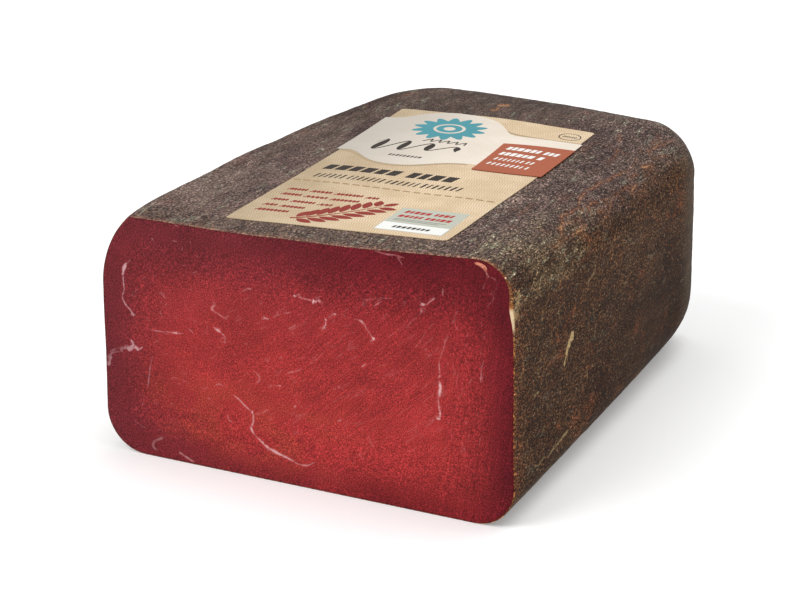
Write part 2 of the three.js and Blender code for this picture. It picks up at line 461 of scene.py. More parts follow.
# Colours as seen on the screen, 0 to 255
COLOURS = {
    "left band": (99, 32, 38),
    "right band": (92, 17, 26),
    "red lean": (153, 45, 45),
    "low glow": (156, 62, 46),
    "purple": (108, 34, 42),
    "vein's edge": (180, 54, 50),
    "thin fat": (184, 112, 114),
    "thick fat": (216, 168, 166),
    "left fat": (178, 136, 142),
    "corner fat": (222, 138, 104),
    "top dark": (79, 64, 60),
    "top pale": (92, 77, 70),
    "side dark": (42, 24, 13),
    "side pale": (58, 37, 22),
    "mould": (122, 121, 106),
    "edge mould": (136, 130, 108),
    "rust": (118, 66, 38),
    "top haze": (128, 88, 74),
    "side haze": (98, 56, 32),
    "wide haze": (100, 58, 34),
    "olive": (104, 90, 66),
    "rusty fleck": (146, 84, 44),
    "pale fleck": (164, 136, 96),
    "grey end": (86, 80, 66),
    "grey foot": (88, 82, 68),
    "crack's edge": (122, 62, 34),
    "crack": (190, 138, 96),
    "top streak": (158, 152, 130),
    "side streak": (192, 164, 116),
    "speck": (168, 138, 106),
    "dark rim": (122, 76, 56),
    "pale rim": (196, 162, 128),
    "left rim": (92, 36, 36),
    "dark dot": (120, 62, 32),
    "pale dot": (206, 142, 80),
    "pale wedge": (226, 198, 160),
    "rusty wedge": (160, 94, 46),
    "pale crumb": (150, 134, 110),
    "grey crumb": (122, 112, 96),
    "rusty crumb": (134, 94, 60),
}

# Each paper's tones and the shades of its clouds, both at the left and at the right, and its ribs. The step
# from the darker left to the paler right is painted light.
PAPERS = {
    "kraft": ((210, 192, 165), (242, 221, 192), (166, 143, 112), (198, 171, 134), 0.9),
    "off_white": ((192, 185, 175), (235, 224, 210), (186, 177, 164), (224, 211, 195), 0.0),
}

# Each ink's tone and the tone of its patches
INKS = {
    "terracotta": ((172, 94, 66), (159, 82, 57)),
    "shadow_ink": ((176, 154, 122), (188, 166, 132)),
    "dark_ink": ((52, 44, 40), (72, 62, 55)),
    "red_ink": ((140, 46, 38), (160, 76, 62)),
    "bright_red_ink": ((170, 44, 40), (184, 72, 62)),
    "teal_ink": ((74, 146, 157), (88, 156, 164)),
    "dash_ink": ((160, 130, 92), (176, 148, 110)),
    "grey_panel": ((188, 190, 176), (200, 200, 188)),
    "grey_ink": ((140, 142, 132), (156, 156, 146)),
    "white_panel": ((240, 240, 236), (230, 229, 225)),
}

# Noises: the sizes of their grains across, along and up in millimetres, their detail, and for
# some their roughness and how far they're turned about the block's length, in degrees
GRAINS = {
    "stroke edge": ((0.8, 0.8, 0.8), 2),
    "core edge": ((9, 9, 9), 3),
    "lean clouds": ((20, 20, 14), 3),
    "low glow": ((11, 11, 6), 4),
    "purple": ((9, 9, 6), 3),
    "slanting fibres": ((0.27, 6, 7), 3, 0.55, -47),
    "upright fibres": ((0.4, 6, 9), 3, 0.55, -8),
    "lean specks": ((0.33, 0.33, 0.33), 2, 0.7),
    "fat patches": ((0.9, 0.9, 0.9), 2),
    "rind patches": ((15, 30, 15), 4),
    "broad": ((4, 11, 4), 4, 0.6),
    "lines": ((0.9, 16, 0.9), 2),
    "smears": ((1.7, 9, 1.7), 3, 0.6),
    "mould": ((8, 18, 8), 3),
    "rust": ((9, 14, 9), 4, 0.65),
    "weave": ((0.6, 1.5, 0.6), 2, 0.65),
    "grit": ((0.36, 0.85, 0.36), 2, 0.7),
    "fine grit": ((0.28, 0.4, 0.28), 1, 0.6),
    "fleck tints": ((1.0, 1.6, 1.0), 2),
    "flecks": ((0.5, 0.85, 0.5), 2),
    "crack breaks": ((0.8, 1.6, 0.8), 2),
    "specks": ((0.5, 1.1, 0.5), 1),
    "rim patches": ((0.9, 0.9, 0.9), 3),
    "paper clouds": ((9, 9, 9), 3),
    "paper fibres": ((0.5, 1.1, 0.5), 3),
    "ink patches": ((0.6, 0.6, 0.6), 3),
    "crumb tints": ((3, 3, 3), 3),
    "crumb grit": ((0.3, 0.3, 0.3), 2),
}

# Parts of the surface in the row frame: the axis, where the part starts and from where it's in full
AXES = ("across", "along", "up")
ZONES = {
    "right of the cut": [("across", -25, 30)],
    "right part of the cut": [("across", 28, 40)],
    "top of the cut": [("up", 50, 60)],
    "low glow": [("up", 34, 14), ("across", 30, 0)],
    "low left corner": [("up", 17, 8), ("across", -20, -32)],
    "slanting fibres": [("across", -25, 15), ("across", 46, 34), ("up", 8, 22)],
    "upright fibres": [("across", 34, 44)],
    "left fat": [("across", -30, -42)],
    "corner fat": [("across", 45, 48), ("up", 61.9, 63.2)],
    "left of the top": [("across", 10, -30)],
    "near part of the top": [("along", 45, -35), ("along", -76, -62)],
    "far part of the top": [("along", -20, 55)],
    "middle of the top": [("across", -15, 35)],
    "right of the top": [("across", 5, 40)],
    "front corner": [("across", 34, 43), ("along", -48, -64), ("up", 50, 58)],
    "shoulder": [("across", 44, 52), ("up", 50, 58), ("along", 0, -32)],
    "olive shoulder": [("across", 42, 50), ("up", 51, 57), ("along", -14, -40)],
    "far foot": [("along", -30, 25), ("up", 46, 18)],
    "far part": [("along", -60, 40)],
    "near foot": [("across", 42, 50), ("along", -12, -42)],
    "by the cut": [("along", -45, -72)],
    "left rim": [("across", -44, -50)],
    "dotted rim": [("across", 48, 53), ("up", 51, 46)],
    "wedge": [("across", 46, 52), ("up", 48, 50.5)],
    "rusty wedge": [("up", 54, 55.4)],
    "full wedge": [("up", 57, 54.5)],
    # Painted light: the label's papers grow paler across this span towards the right
    "painted light towards the label's right": [("across", -30, 18)],
}


# Shader maths as expressions


def add_node(tree, kind, settings, sockets):
    """A node whose sockets are linked to the sockets given, or set to the values given."""
    node = tree.nodes.new(kind)
    for name, value in settings.items():
        setattr(node, name, value)
    for key, value in sockets.items():
        if isinstance(value, bpy.types.NodeSocket):
            tree.links.new(value, node.inputs[key])
        else:
            node.inputs[key].default_value = value
    return node


def operator(operation, swapped=False):
    """A method that sets the operation between the field and another field or number."""
    def apply(self, other):
        return self.math(operation, other, self) if swapped else self.math(operation, self, other)
    return apply


class Field:
    """A socket of a finish's node tree that can be added, multiplied and compared."""

    def __init__(self, finish, socket):
        self.finish = finish
        self.socket = socket

    def math(self, operation, *inputs):
        return self.finish.add("ShaderNodeMath", {"operation": operation}, dict(enumerate(inputs)))

    __add__ = operator("ADD")
    __sub__ = operator("SUBTRACT")
    __rsub__ = operator("SUBTRACT", swapped=True)
    __mul__ = operator("MULTIPLY")
    __truediv__ = operator("DIVIDE")
    least = operator("MINIMUM")
    most = operator("MAXIMUM")

    def sine(self):
        return self.math("SINE", self)

    def exponent(self):
        return self.math("EXPONENT", self)

    def fade(self, low, high):
        """0 below low and 1 above high, or the other way round where low is the larger."""
        rising = low < high
        limits = (0.0, 1.0) if rising else (1.0, 0.0)
        return self.finish.add(
            "ShaderNodeMapRange",
            {"interpolation_type": "SMOOTHSTEP"},
            {
                "Value": self,
                "From Min": min(low, high),
                "From Max": max(low, high),
                "To Min": limits[0],
                "To Max": limits[1],
            },
        )


class Finish:
    """One material and the few kinds of node that the finishes here are made of."""

    def __init__(self, name, **constants):
        self.material = bpy.data.materials.new(name)
        self.material.use_nodes = True
        self.tree = self.material.node_tree
        self.tree.nodes.clear()
        self.surface = self.tree.nodes.new("ShaderNodeBsdfPrincipled")
        output = self.tree.nodes.new("ShaderNodeOutputMaterial")
        self.tree.links.new(self.surface.outputs[0], output.inputs["Surface"])
        for socket, value in constants.items():
            self.surface.inputs[socket.replace("_", " ")].default_value = value

    def add(self, kind, settings, sockets, output=0):
        plain = {key: value.socket if isinstance(value, Field) else value for key, value in sockets.items()}
        return Field(self, add_node(self.tree, kind, settings, plain).outputs[output])

    def place(self, sizes=(1, 1, 1), turn=0):
        """Object coordinates in millimetres, turned about the length and divided by the sizes."""
        spot = self.add("ShaderNodeTexCoord", {}, {}, "Object")
        sockets = {"Vector": spot, "Rotation": (0, math.radians(turn), 0), "Scale": [1 / MM] * 3}
        turned = self.add("ShaderNodeMapping", {}, sockets)
        shares = tuple(1 / size for size in sizes)
        return self.add("ShaderNodeVectorMath", {"operation": "MULTIPLY"}, {0: turned, 1: shares})

    @cached_property
    def axis(self):
        """The ways across, along and up in the row frame, in millimetres."""
        parts = self.tree.nodes.new("ShaderNodeSeparateXYZ")
        self.tree.links.new(self.place().socket, parts.inputs[0])
        return {name: Field(self, socket) for name, socket in zip(AXES, parts.outputs)}

    def zone(self, name):
        """1 inside the named part of the surface and 0 outside it."""
        fades = [self.axis[axis].fade(start, full) for axis, start, full in ZONES[name]]
        share = fades[0]
        for fade in fades[1:]:
            share = share * fade
        return share

    def attribute(self, name):
        return self.add("ShaderNodeAttribute", {"attribute_name": name}, {}, "Fac")

    def grain(self, name):
        """The named noise, from 0 to 1."""
        return self.noise(*GRAINS[name])

    def noise(self, sizes, detail, roughness=0.55, turn=0):
        spot = self.place(sizes, turn)
        sockets = {"Vector": spot, "Scale": 1.0, "Detail": detail, "Roughness": roughness}
        return self.add("ShaderNodeTexNoise", {}, sockets)

    def stroke_gap(self, name, wobble=0.25):
        """How far outside the nearest stroke of that name, in millimetres, with an uneven edge."""
        offset = self.add("ShaderNodeAttribute", {"attribute_name": name + "_offset"}, {}, "Vector")
        length = self.add("ShaderNodeVectorMath", {"operation": "LENGTH"}, {0: offset}, "Value")
        near = self.attribute(name + "_near") - STROKE_MESH_STEP
        uneven = (self.grain("stroke edge") - 0.5) * wobble
        return length.most(near) - self.attribute(name + "_half") + uneven

    def mix(self, share, first, second):
        """The second tone over the first; a tone is another mix, a colour or the name of one."""
        sockets = {0: share, 6: tone_value(first), 7: tone_value(second)}
        return self.add("ShaderNodeMix", {"data_type": "RGBA"}, sockets, 2)

    def dye(self, share, tone, onto):
        return self.mix(share, onto, tone)

    def lit(self, tone, level):
        """The tone with its lightness multiplied by level."""
        return self.add("ShaderNodeVectorMath", {"operation": "SCALE"}, {0: tone, "Scale": level})

    def bump(self, height, distance, strength=1.0):
        sockets = {"Height": height, "Distance": distance * MM, "Strength": strength}
        return self.add("ShaderNodeBump", {}, sockets)

    def show(self, **sockets):
        for socket, value in sockets.items():
            self.tree.links.new(value.socket, self.surface.inputs[socket.replace("_", " ")])
        return self.material


def tone_value(tone):
    """A colour, or the name of one, as the linear values that shaders use; a mix stays as it is."""
    if isinstance(tone, Field):
        return tone
    red, green, blue = (linear(level / 255) for level in COLOURS.get(tone, tone))
    return red, green, blue, 1.0


def linear(share):
    return share / 12.92 if share <= 0.04045 else ((share + 0.055) / 1.055) ** 2.4


# The finishes of the meat and the rind


def cut_finish():
    """Lean meat: a maroon band behind the rind, red in the middle, with fibres and fat."""
    finish = Finish("lean_meat", Specular_IOR_Level=0.1)
    core = finish.attribute("core") + (finish.grain("core edge") - 0.5) * 0.3
    band_tone = finish.mix(finish.zone("right of the cut"), "left band", "right band")
    lean = finish.mix(core.most(0.0).least(1.0), band_tone, "red lean")
    lean = finish.lit(lean, ((finish.grain("lean clouds") - 0.5) * 0.9).exponent())
    level = finish.zone("top of the cut") * 0.06 - finish.zone("right part of the cut") * 0.05 + 1.0
    lean = finish.lit(lean, level)
    low_glow = finish.zone("low glow") * core.fade(0.3, 0.8) * finish.grain("low glow").fade(0.42, 0.6)
    lean = finish.dye(low_glow * 0.42, "low glow", lean)
    purple = finish.zone("low left corner") * finish.grain("purple").fade(0.38, 0.5)
    lean = finish.dye(purple * 0.5, "purple", lean)

    # Fibres and specks
    slanting = finish.grain("slanting fibres")
    upright = finish.grain("upright fibres")
    on_slant = finish.zone("slanting fibres")
    on_edge = finish.zone("upright fibres")
    speck = finish.grain("lean specks")
    uneven = (speck - 0.5) * 4.4 + (slanting - 0.5) * on_slant * 1.2 + (upright - 0.5) * on_edge
    lean = finish.lit(lean, uneven.exponent())

    # Fat
    gap = finish.stroke_gap("vein")
    strength = finish.attribute("vein_strength")
    patchy = finish.grain("fat patches")
    lean = finish.dye(gap.fade(1.0, 0) * strength * core.fade(0.4, 0.9) * 0.4, "vein's edge", lean)
    fat_tone = finish.mix(gap.fade(-0.05, -0.38), "thin fat", "thick fat")
    fat_tone = finish.dye(finish.zone("left fat") * 0.6, "left fat", fat_tone)
    fat_tone = finish.dye(finish.zone("corner fat") * 0.8, "corner fat", fat_tone)
    fat = gap.fade(0.12, -0.16) * strength * (patchy.fade(0.3, 0.5) * 0.35 + 0.65)
    height = speck * 0.6 + slanting * on_slant * 0.6 + upright * on_edge * 0.6 + fat * 0.6
    return finish.show(
        Base_Color=finish.dye(fat, fat_tone, lean),
        Roughness=speck * 0.2 + 0.52 - fat * 0.1,
        Normal=finish.bump(height, 0.05, 0.6),
    )


def rind_finish():
    """Dried rind: a dark grey-brown crust, greyer on top, browner at the side, streaked lengthwise."""
    finish = Finish("dried_rind", Specular_IOR_Level=0.1)
    across, along, up = finish.axis.values()
    rim = finish.attribute("rim")
    patches = finish.grain("rind patches")
    broad = finish.grain("broad")
    lines = finish.grain("lines")
    weave = finish.grain("weave")
    grit = finish.grain("grit")

    # The tones of the top and the side
    side = (across - (up - 60).most(-10) * 0.8 + (patches - 0.5) * 12).fade(45, 61)
    top_tone = finish.mix(patches.fade(0.36, 0.64), "top dark", "top pale")
    near_light = finish.zone("near part of the top") * (finish.zone("left of the top") * 0.25 + 0.2)
    far_light = finish.zone("far part of the top") * (finish.zone("middle of the top") * 0.15 - 0.09)
    top_tone = finish.lit(top_tone, near_light + far_light + 0.9)
    side_tone = finish.mix(patches.fade(0.36, 0.64), "side dark", "side pale")
    crust = finish.mix(side, top_tone, side_tone)
    crust = finish.lit(crust, ((broad - 0.5) * 1.6 + (lines - 0.5) * 0.9).exponent())

    # Mould, rust and the haze beside the cut
    smears = finish.grain("smears").fade(0.54, 0.68)
    mould = finish.grain("mould").fade(0.42, 0.58)
    edges = finish.zone("front corner") + finish.zone("shoulder") * 0.8
    crust = finish.dye(smears * mould * (0.6 - side * 0.48), "mould", crust)
    crust = finish.dye(smears * edges.least(1.0) * 0.6, "edge mould", crust)
    rust = finish.grain("rust").fade(0.56, 0.7)
    crust = finish.dye(rust * (side * 0.25 + 0.15), "rust", crust)
    haze_tone = finish.mix(side, "top haze", "side haze")
    crust = finish.dye((rim + (broad - 0.5) * 2.4).fade(2.6, 0.3) * 0.45, haze_tone, crust)
    crust = finish.dye((rim + (broad - 0.5) * 9).fade(9, 2) * side * 0.3, "wide haze", crust)
    crust = finish.dye(broad.fade(0.38, 0.6) * finish.zone("olive shoulder") * 0.4, "olive", crust)

    # The grain, plainest on the near left and at the far foot
    rightward = finish.zone("right of the top")
    far_foot = side * finish.zone("far foot")
    plain = finish.zone("far part") * (1.0 - rightward) * -0.3 - far_foot * 0.55 + 1.0
    uneven = (weave - 0.5) * (rightward * 1.4 + side * 0.8 + 2.6)
    uneven = uneven + (grit - 0.5) * (rightward * 1.6 + 6.6) - rightward * 0.05
    uneven = uneven + (finish.grain("fine grit") - 0.5) * side * 4.5
    crust = finish.lit(crust, (uneven * plain - side * 0.05).exponent())
    fleck_tone = finish.mix(finish.grain("fleck tints").fade(0.42, 0.58), "rusty fleck", "pale fleck")
    flecks = finish.grain("flecks").fade(0.57, 0.7) * (side - far_foot * 0.7)
    crust = finish.dye(flecks * 0.65, fleck_tone, crust)
    crust = finish.dye((along + (broad - 0.5) * 14).fade(48, 62) * side * 0.3, "grey end", crust)
    foot = (up + (broad - 0.5) * 5).fade(7.5, 4.5) * finish.zone("near foot")
    crust = finish.dye(foot * 0.45, "grey foot", crust)

    crust = dye_strokes(finish, crust, side, weave)
    by_cut = finish.zone("by the cut") * 0.5 + 0.12
    specks = finish.grain("specks").fade(0.6, 0.7) * (1.0 - side) * by_cut
    crust = finish.dye(specks, "speck", crust)
    height = weave * 1.4 + grit * 0.5 + lines * 0.8 + broad
    return finish.show(
        Base_Color=dye_rim(finish, crust, rim),
        Roughness=weave * 0.2 + 0.68,
        Normal=finish.bump(height, 0.22, 0.7),
    )


def dye_strokes(finish, crust, side, weave):
    """The rusty cracks, broken into lengths, and the cream streaks."""
    crack = finish.stroke_gap("crack", 0.4)
    broken = finish.grain("crack breaks").fade(0.38, 0.52) * 0.7 + 0.3
    crack_strength = finish.attribute("crack_strength") * broken
    crust = finish.dye(crack.fade(1.0, 0.1) * crack_strength * 0.4, "crack's edge", crust)
    crust = finish.dye(crack.fade(0.1, -0.15) * crack_strength, "crack", crust)
    streak = finish.stroke_gap("streak", 0.8)
    streak_strength = finish.attribute("streak_strength") * (weave.fade(0.3, 0.55) * 0.8 + 0.2)
    streak_tone = finish.mix(side, "top streak", "side streak")
    return finish.dye(streak.fade(0.2, -0.4) * streak_strength, streak_tone, crust)


def dye_rim(finish, crust, rim):
    """The thin rim by the cut: mottled, darker at the left, with dots and a pale wedge at the right."""
    patches = finish.grain("rim patches")
    by_foot = finish.zone("dotted rim")
    by_wedge = finish.zone("wedge")
    tone = finish.mix(patches.fade(0.45, 0.6), "dark rim", "pale rim")
    tone = finish.dye(finish.zone("left rim"), "left rim", tone)
    tone = finish.mix(by_foot, tone, finish.mix(patches.fade(0.48, 0.6), "dark dot", "pale dot"))
    wedge_tone = finish.mix(finish.zone("rusty wedge"), "pale wedge", "rusty wedge")
    tone = finish.mix(by_wedge, tone, wedge_tone)
    share = by_wedge * (finish.zone("full wedge") * 0.7 + 0.15)
    share = share + patches.fade(0.48, 0.62) * (by_foot * 0.45 + 0.4)
    return finish.dye(rim.fade(0.75, 0.25) * share.least(1.0), tone, crust)


# Strokes seen on the photograph, in its 800 by 600 pixels, each with its width in millimetres
# and how plainly it shows
FAT_STROKES = {
    "left hook start": (0.35, 0.5, [(130.6, 259.5), (128, 262), (126, 265)]),
    "left hook": (1.2, 1.0, [(127, 263), (123.6, 268.5), (123.2, 272.5), (124, 276.5)]),
    "left hook thread": (0.45, 0.7, [(124, 275.3), (123.5, 280.4), (124, 287.6), (122.4, 296.7)]),
    "left hook foot": (0.7, 0.7, [(122.4, 296.7), (126, 305.9), (129.6, 310), (133.2, 314.1)]),
    "left hook end": (1.0, 0.7, [(131.5, 312.5), (134, 315)]),
    "left hook arms": (0.35, 0.5, [(136.2, 315), (133, 314), (130.6, 316.6)]),
    "top bar": (0.5, 0.9, [(299, 296.6), (305, 298.5), (311.2, 300.7)]),
    "top bar left": (1.1, 0.9, [(293.6, 296), (296.5, 295.2)]),
    "top bar twig": (0.4, 0.7, [(296, 294.6), (300, 293.6)]),
    "top bar star": (1.5, 1.0, [(312.5, 301.8), (316.5, 301.6)]),
    "top bar arms": (0.5, 0.9, [(312.2, 304.3), (315, 301.7), (320.4, 301)]),
    "top bar thread": (0.3, 0.6, [(316, 300.5), (320.4, 296)]),
    "top bar drop": (0.3, 0.5, [(321.4, 304.3), (322.7, 306.8)]),
    "chain knot": (0.8, 1.0, [(324.8, 319.4), (325.8, 321)]),
    "chain": (0.45, 0.85, [(325.3, 320.1), (325.5, 324.7), (323.7, 326.9), (320.9, 334.4)]),
    "chain star": (1.0, 1.0, [(323, 326.5), (324.5, 327.3)]),
    "chain arm": (0.35, 0.4, [(323.7, 326.9), (316.3, 328.3)]),
    "upper chain": (0.35, 0.6, [(328, 318), (332, 315.5), (336.7, 313.5)]),
    "upper chain knot": (0.8, 0.9, [(335, 314.8), (336.2, 314)]),
    "chain dot": (0.6, 0.7, [(344.4, 316.5), (345.4, 316.5)]),
    "middle hook start": (0.4, 0.5, [(354, 318.6), (358.5, 319.6)]),
    "middle hook": (0.85, 0.85, [(358.5, 319.6), (361.2, 320.6), (364.8, 324.7), (366.3, 329.3)]),
    "middle hook thread": (0.45, 0.8, [(366.3, 329.3), (368.8, 333), (371.4, 336.9)]),
    "middle hook star": (1.3, 0.9, [(372, 338), (374, 339)]),
    "middle hook foot": (0.5, 0.8, [(373, 339), (370.9, 341.5)]),
    "middle tick": (0.3, 0.8, [(373, 307.3), (377, 304), (381.1, 301.2)]),
    "upper thread": (0.25, 0.35, [(361, 299), (375.5, 298.7), (392.9, 297.7)]),
    "upper dot": (0.6, 0.8, [(375, 298.7), (376, 298.7)]),
    "right fork": (0.45, 0.85, [(434.5, 298.3), (430, 302.2), (426, 305.4)]),
    "right fork star": (0.9, 0.75, [(421.8, 303.6), (424, 305.4), (426.4, 304.8)]),
    "right fork knot": (0.65, 0.85, [(421.4, 311.8), (423, 310)]),
    "right fork tail": (0.35, 0.6, [(424, 306), (422.4, 311), (419, 315), (416, 318)]),
    "right bar top": (0.3, 0.5, [(448, 334.6), (444, 346), (440.4, 358), (438.9, 362.1)]),
    "right bar": (0.65, 0.85, [(438.9, 361.5), (439.4, 373), (439.7, 383.6)]),
    "right bar middle": (1.0, 0.9, [(439.7, 380), (439.9, 390), (438.2, 398)]),
    "right bar low": (0.65, 0.85, [(437.8, 397), (439.7, 406.5), (438.9, 418)]),
    "right bar foot": (0.8, 0.85, [(436.8, 418.5), (439.6, 418.8)]),
    "right bar root": (0.3, 0.45, [(434.5, 418.5), (430, 424), (425.5, 429)]),
    "right dot": (0.4, 0.6, [(424.6, 356), (425.6, 353)]),
    "right dash": (0.3, 0.6, [(422, 389.7), (427.4, 384.3)]),
    "far right bar": (0.45, 0.6, [(484, 359.7), (481.5, 372.4), (480.8, 383.9)]),
    "star spike": (0.9, 0.9, [(131, 339), (132.4, 342.5), (134, 346)]),
    "star body": (1.4, 0.95, [(132.5, 344), (134.5, 346.5), (137, 348.5)]),
    "star root": (2.3, 0.7, [(127.5, 347.4), (133.5, 347.2)]),
    "star tip": (0.5, 0.8, [(137, 348.5), (141, 348.6), (143.4, 346.5)]),
    "star tip below": (0.7, 0.9, [(136, 347), (138, 351)]),
    "star arm": (0.9, 0.5, [(130, 346), (124, 347.6), (119, 350.5)]),
    "star arm above": (0.5, 0.35, [(128, 344.5), (122, 346.4), (116, 349), (110, 352)]),
    "star arm below": (0.6, 0.4, [(124, 350), (118, 351.8), (112.6, 353), (108.6, 356.5)]),
    "star arm foot": (1.2, 0.5, [(112, 356), (109.6, 360), (108, 365.1)]),
    "star arm end": (0.5, 0.35, [(108.4, 354), (107.4, 359), (107.2, 363)]),
    "left dash": (0.45, 0.6, [(151, 330.4), (157.1, 330.9), (165.3, 331.4), (176, 333.5), (183.7, 333)]),
    "left dash spot": (0.8, 1.0, [(171.5, 332.6), (177.5, 333.6)]),
    "left tick": (0.35, 0.5, [(188.3, 327.9), (194.4, 334)]),
    "crook": (0.55, 0.85, [(215.8, 303.9), (211.2, 308), (215.3, 312), (222.4, 317.1), (226.5, 319.7)]),
    "crook fork": (0.35, 0.5, [(224, 318), (229.1, 316.6)]),
    "crook dot": (0.6, 0.7, [(207.3, 322.2), (208.3, 322.3)]),
    "crook below": (0.75, 1.0, [(214.3, 327.3), (220.4, 331.9), (224.6, 335.6)]),
    "crook tail": (0.4, 0.6, [(220.4, 331.9), (225, 336.5), (224.5, 343.7)]),
    "dash above": (0.45, 0.6, [(241.3, 291.6), (246.9, 289.1), (252, 289.6)]),
    "faint dash": (0.3, 0.4, [(190.8, 273.8), (196.9, 270.7)]),
    "upper left tick": (0.35, 0.6, [(181.6, 250.8), (182.4, 247.2)]),
    "upper left tick beside": (0.35, 0.6, [(190.3, 244.7), (190.3, 240.6)]),
    "upper left dash": (0.4, 0.5, [(178.6, 227.3), (174.5, 225.3)]),
    "upper left dash below": (0.4, 0.5, [(172, 241), (177, 241.6)]),
    "upper left dot": (0.55, 0.5, [(151.5, 239.6), (152.5, 239.6)]),
    "left small tick": (0.35, 0.5, [(161.2, 293.7), (165.3, 298.3)]),
    "left thread": (0.25, 0.35, [(227, 312), (237.2, 310.5)]),
    "left dot": (0.55, 0.6, [(200, 340), (201, 340)]),
    "left dot below": (0.55, 0.6, [(205.5, 348.3), (206.5, 348.3)]),
    "middle left dot": (0.55, 0.6, [(234.2, 354.4), (235.2, 354.4)]),
    "low left dot": (0.55, 0.5, [(155.1, 363.6), (156.1, 363.6)]),
    "long tick head": (0.7, 0.7, [(262, 319.2), (265.5, 318), (269, 319)]),
    "long tick": (0.4, 0.55, [(272, 317.8), (277, 315.5), (285.2, 313.3), (290.3, 311.9)]),
    "small chain": (0.35, 0.6, [(288.8, 329.8), (292, 327), (295.9, 323.7)]),
    "small chain foot": (0.35, 0.5, [(290.8, 330.8), (294.4, 334.9)]),
    "slanting thread": (0.4, 0.6, [(253.6, 370.6), (257.5, 375), (259.7, 380.3), (253.1, 385.4)]),
    "dashes": (0.4, 0.6, [(267.3, 386.9), (274, 386), (281.6, 385.9)]),
    "dash spot": (0.7, 0.9, [(273, 386), (274.4, 386)]),
    "dash spot right": (0.7, 0.9, [(279, 386), (280.4, 386)]),
    "low dash": (0.45, 0.7, [(287.8, 372.7), (294, 371), (301, 368.6)]),
    "low dash head": (0.8, 0.8, [(287.8, 373), (289.4, 372.8)]),
    "low blob": (0.6, 0.7, [(310.2, 363), (315.3, 364)]),
    "small dash": (0.35, 0.5, [(263.8, 359.9), (269.4, 359.9)]),
    "small dash right": (0.35, 0.5, [(279, 358.4), (282.7, 356.8)]),
    "bright dash": (0.4, 0.9, [(361.2, 368.1), (366.3, 363.5)]),
    "right small dash": (0.35, 0.6, [(386.2, 376.7), (388.8, 371.6)]),
    "lower branch": (0.55, 0.85, [(233.8, 395.8), (242, 402.8), (250.6, 410.4)]),
    "lower knot": (1.0, 0.9, [(251.6, 411.2), (253.4, 413.8)]),
    "lower stem": (0.65, 0.85, [(252.9, 413), (253.4, 421.8), (251.4, 426)]),
    "lower knot below": (0.8, 0.9, [(250.2, 426.8), (252.2, 426.4)]),
    "lower bend": (0.7, 0.9, [(250.9, 426.4), (252.9, 431.8), (257.5, 438.7)]),
    "lower tail": (
        0.9, 0.85, [(256.5, 437.5), (265.9, 445.6), (270.5, 449.4), (281.2, 454.7), (293.5, 461.6)]
    ),
    "lower tail end": (0.5, 0.8, [(293, 461.4), (300, 464.6), (305.7, 465.5), (314.9, 462.9)]),
    "lower twig": (0.35, 0.6, [(255.2, 414.2), (261, 413), (267.5, 409.6)]),
    "left fork": (0.4, 0.7, [(228, 414), (228.5, 419), (233, 421.5)]),
    "ticks": (0.45, 0.6, [(215, 386), (219, 384), (226, 387)]),
    "foot left": (0.9, 0.3, [(163, 437), (155, 441), (153, 446), (157, 450)]),
    "foot bar": (0.9, 0.45, [(179, 451.5), (187, 457), (195, 463)]),
    "foot tick": (0.4, 0.6, [(369.2, 440.2), (371.5, 444), (374.6, 448.6)]),
    "corner fat": (0.9, 0.9, [(475.7, 262.8), (481, 265.2), (486.4, 268.4)]),
    "corner drop": (0.7, 0.5, [(484, 267.5), (485.6, 271.5), (487, 275.5)]),
    "corner star": (0.9, 0.55, [(486.4, 277), (489.4, 278.4)]),
    "corner fork": (0.35, 0.45, [(487.5, 277.4), (486, 282), (482.8, 288.3)]),
    "corner thread": (0.35, 0.5, [(489.1, 277.8), (495.5, 279.3), (496.1, 285.7), (493, 299.7)]),
    "corner tail": (0.25, 0.5, [(493, 299.7), (490, 303.5), (486.6, 307.4)]),
    "top edge fleck": (0.5, 0.45, [(374, 250.2), (382.7, 253.2), (392.9, 254.8), (404, 257)]),
    "top edge tail": (0.4, 0.5, [(396.9, 255.8), (402.6, 265.5)]),
    "upright tick": (0.4, 0.4, [(443, 287), (443, 296)]),
    "slanting tick": (0.3, 0.5, [(456.5, 312), (454.5, 317), (451.5, 323.5)]),
    "low speck": (0.6, 0.65, [(294, 406.8), (297, 406.3)]),
    "small dash low": (0.45, 0.6, [(337.5, 421.8), (342, 420)]),
    "left low tick": (0.4, 0.5, [(152, 356), (150, 372), (148, 388)]),
    "left speck": (0.8, 0.45, [(208, 398), (210, 399)]),
}
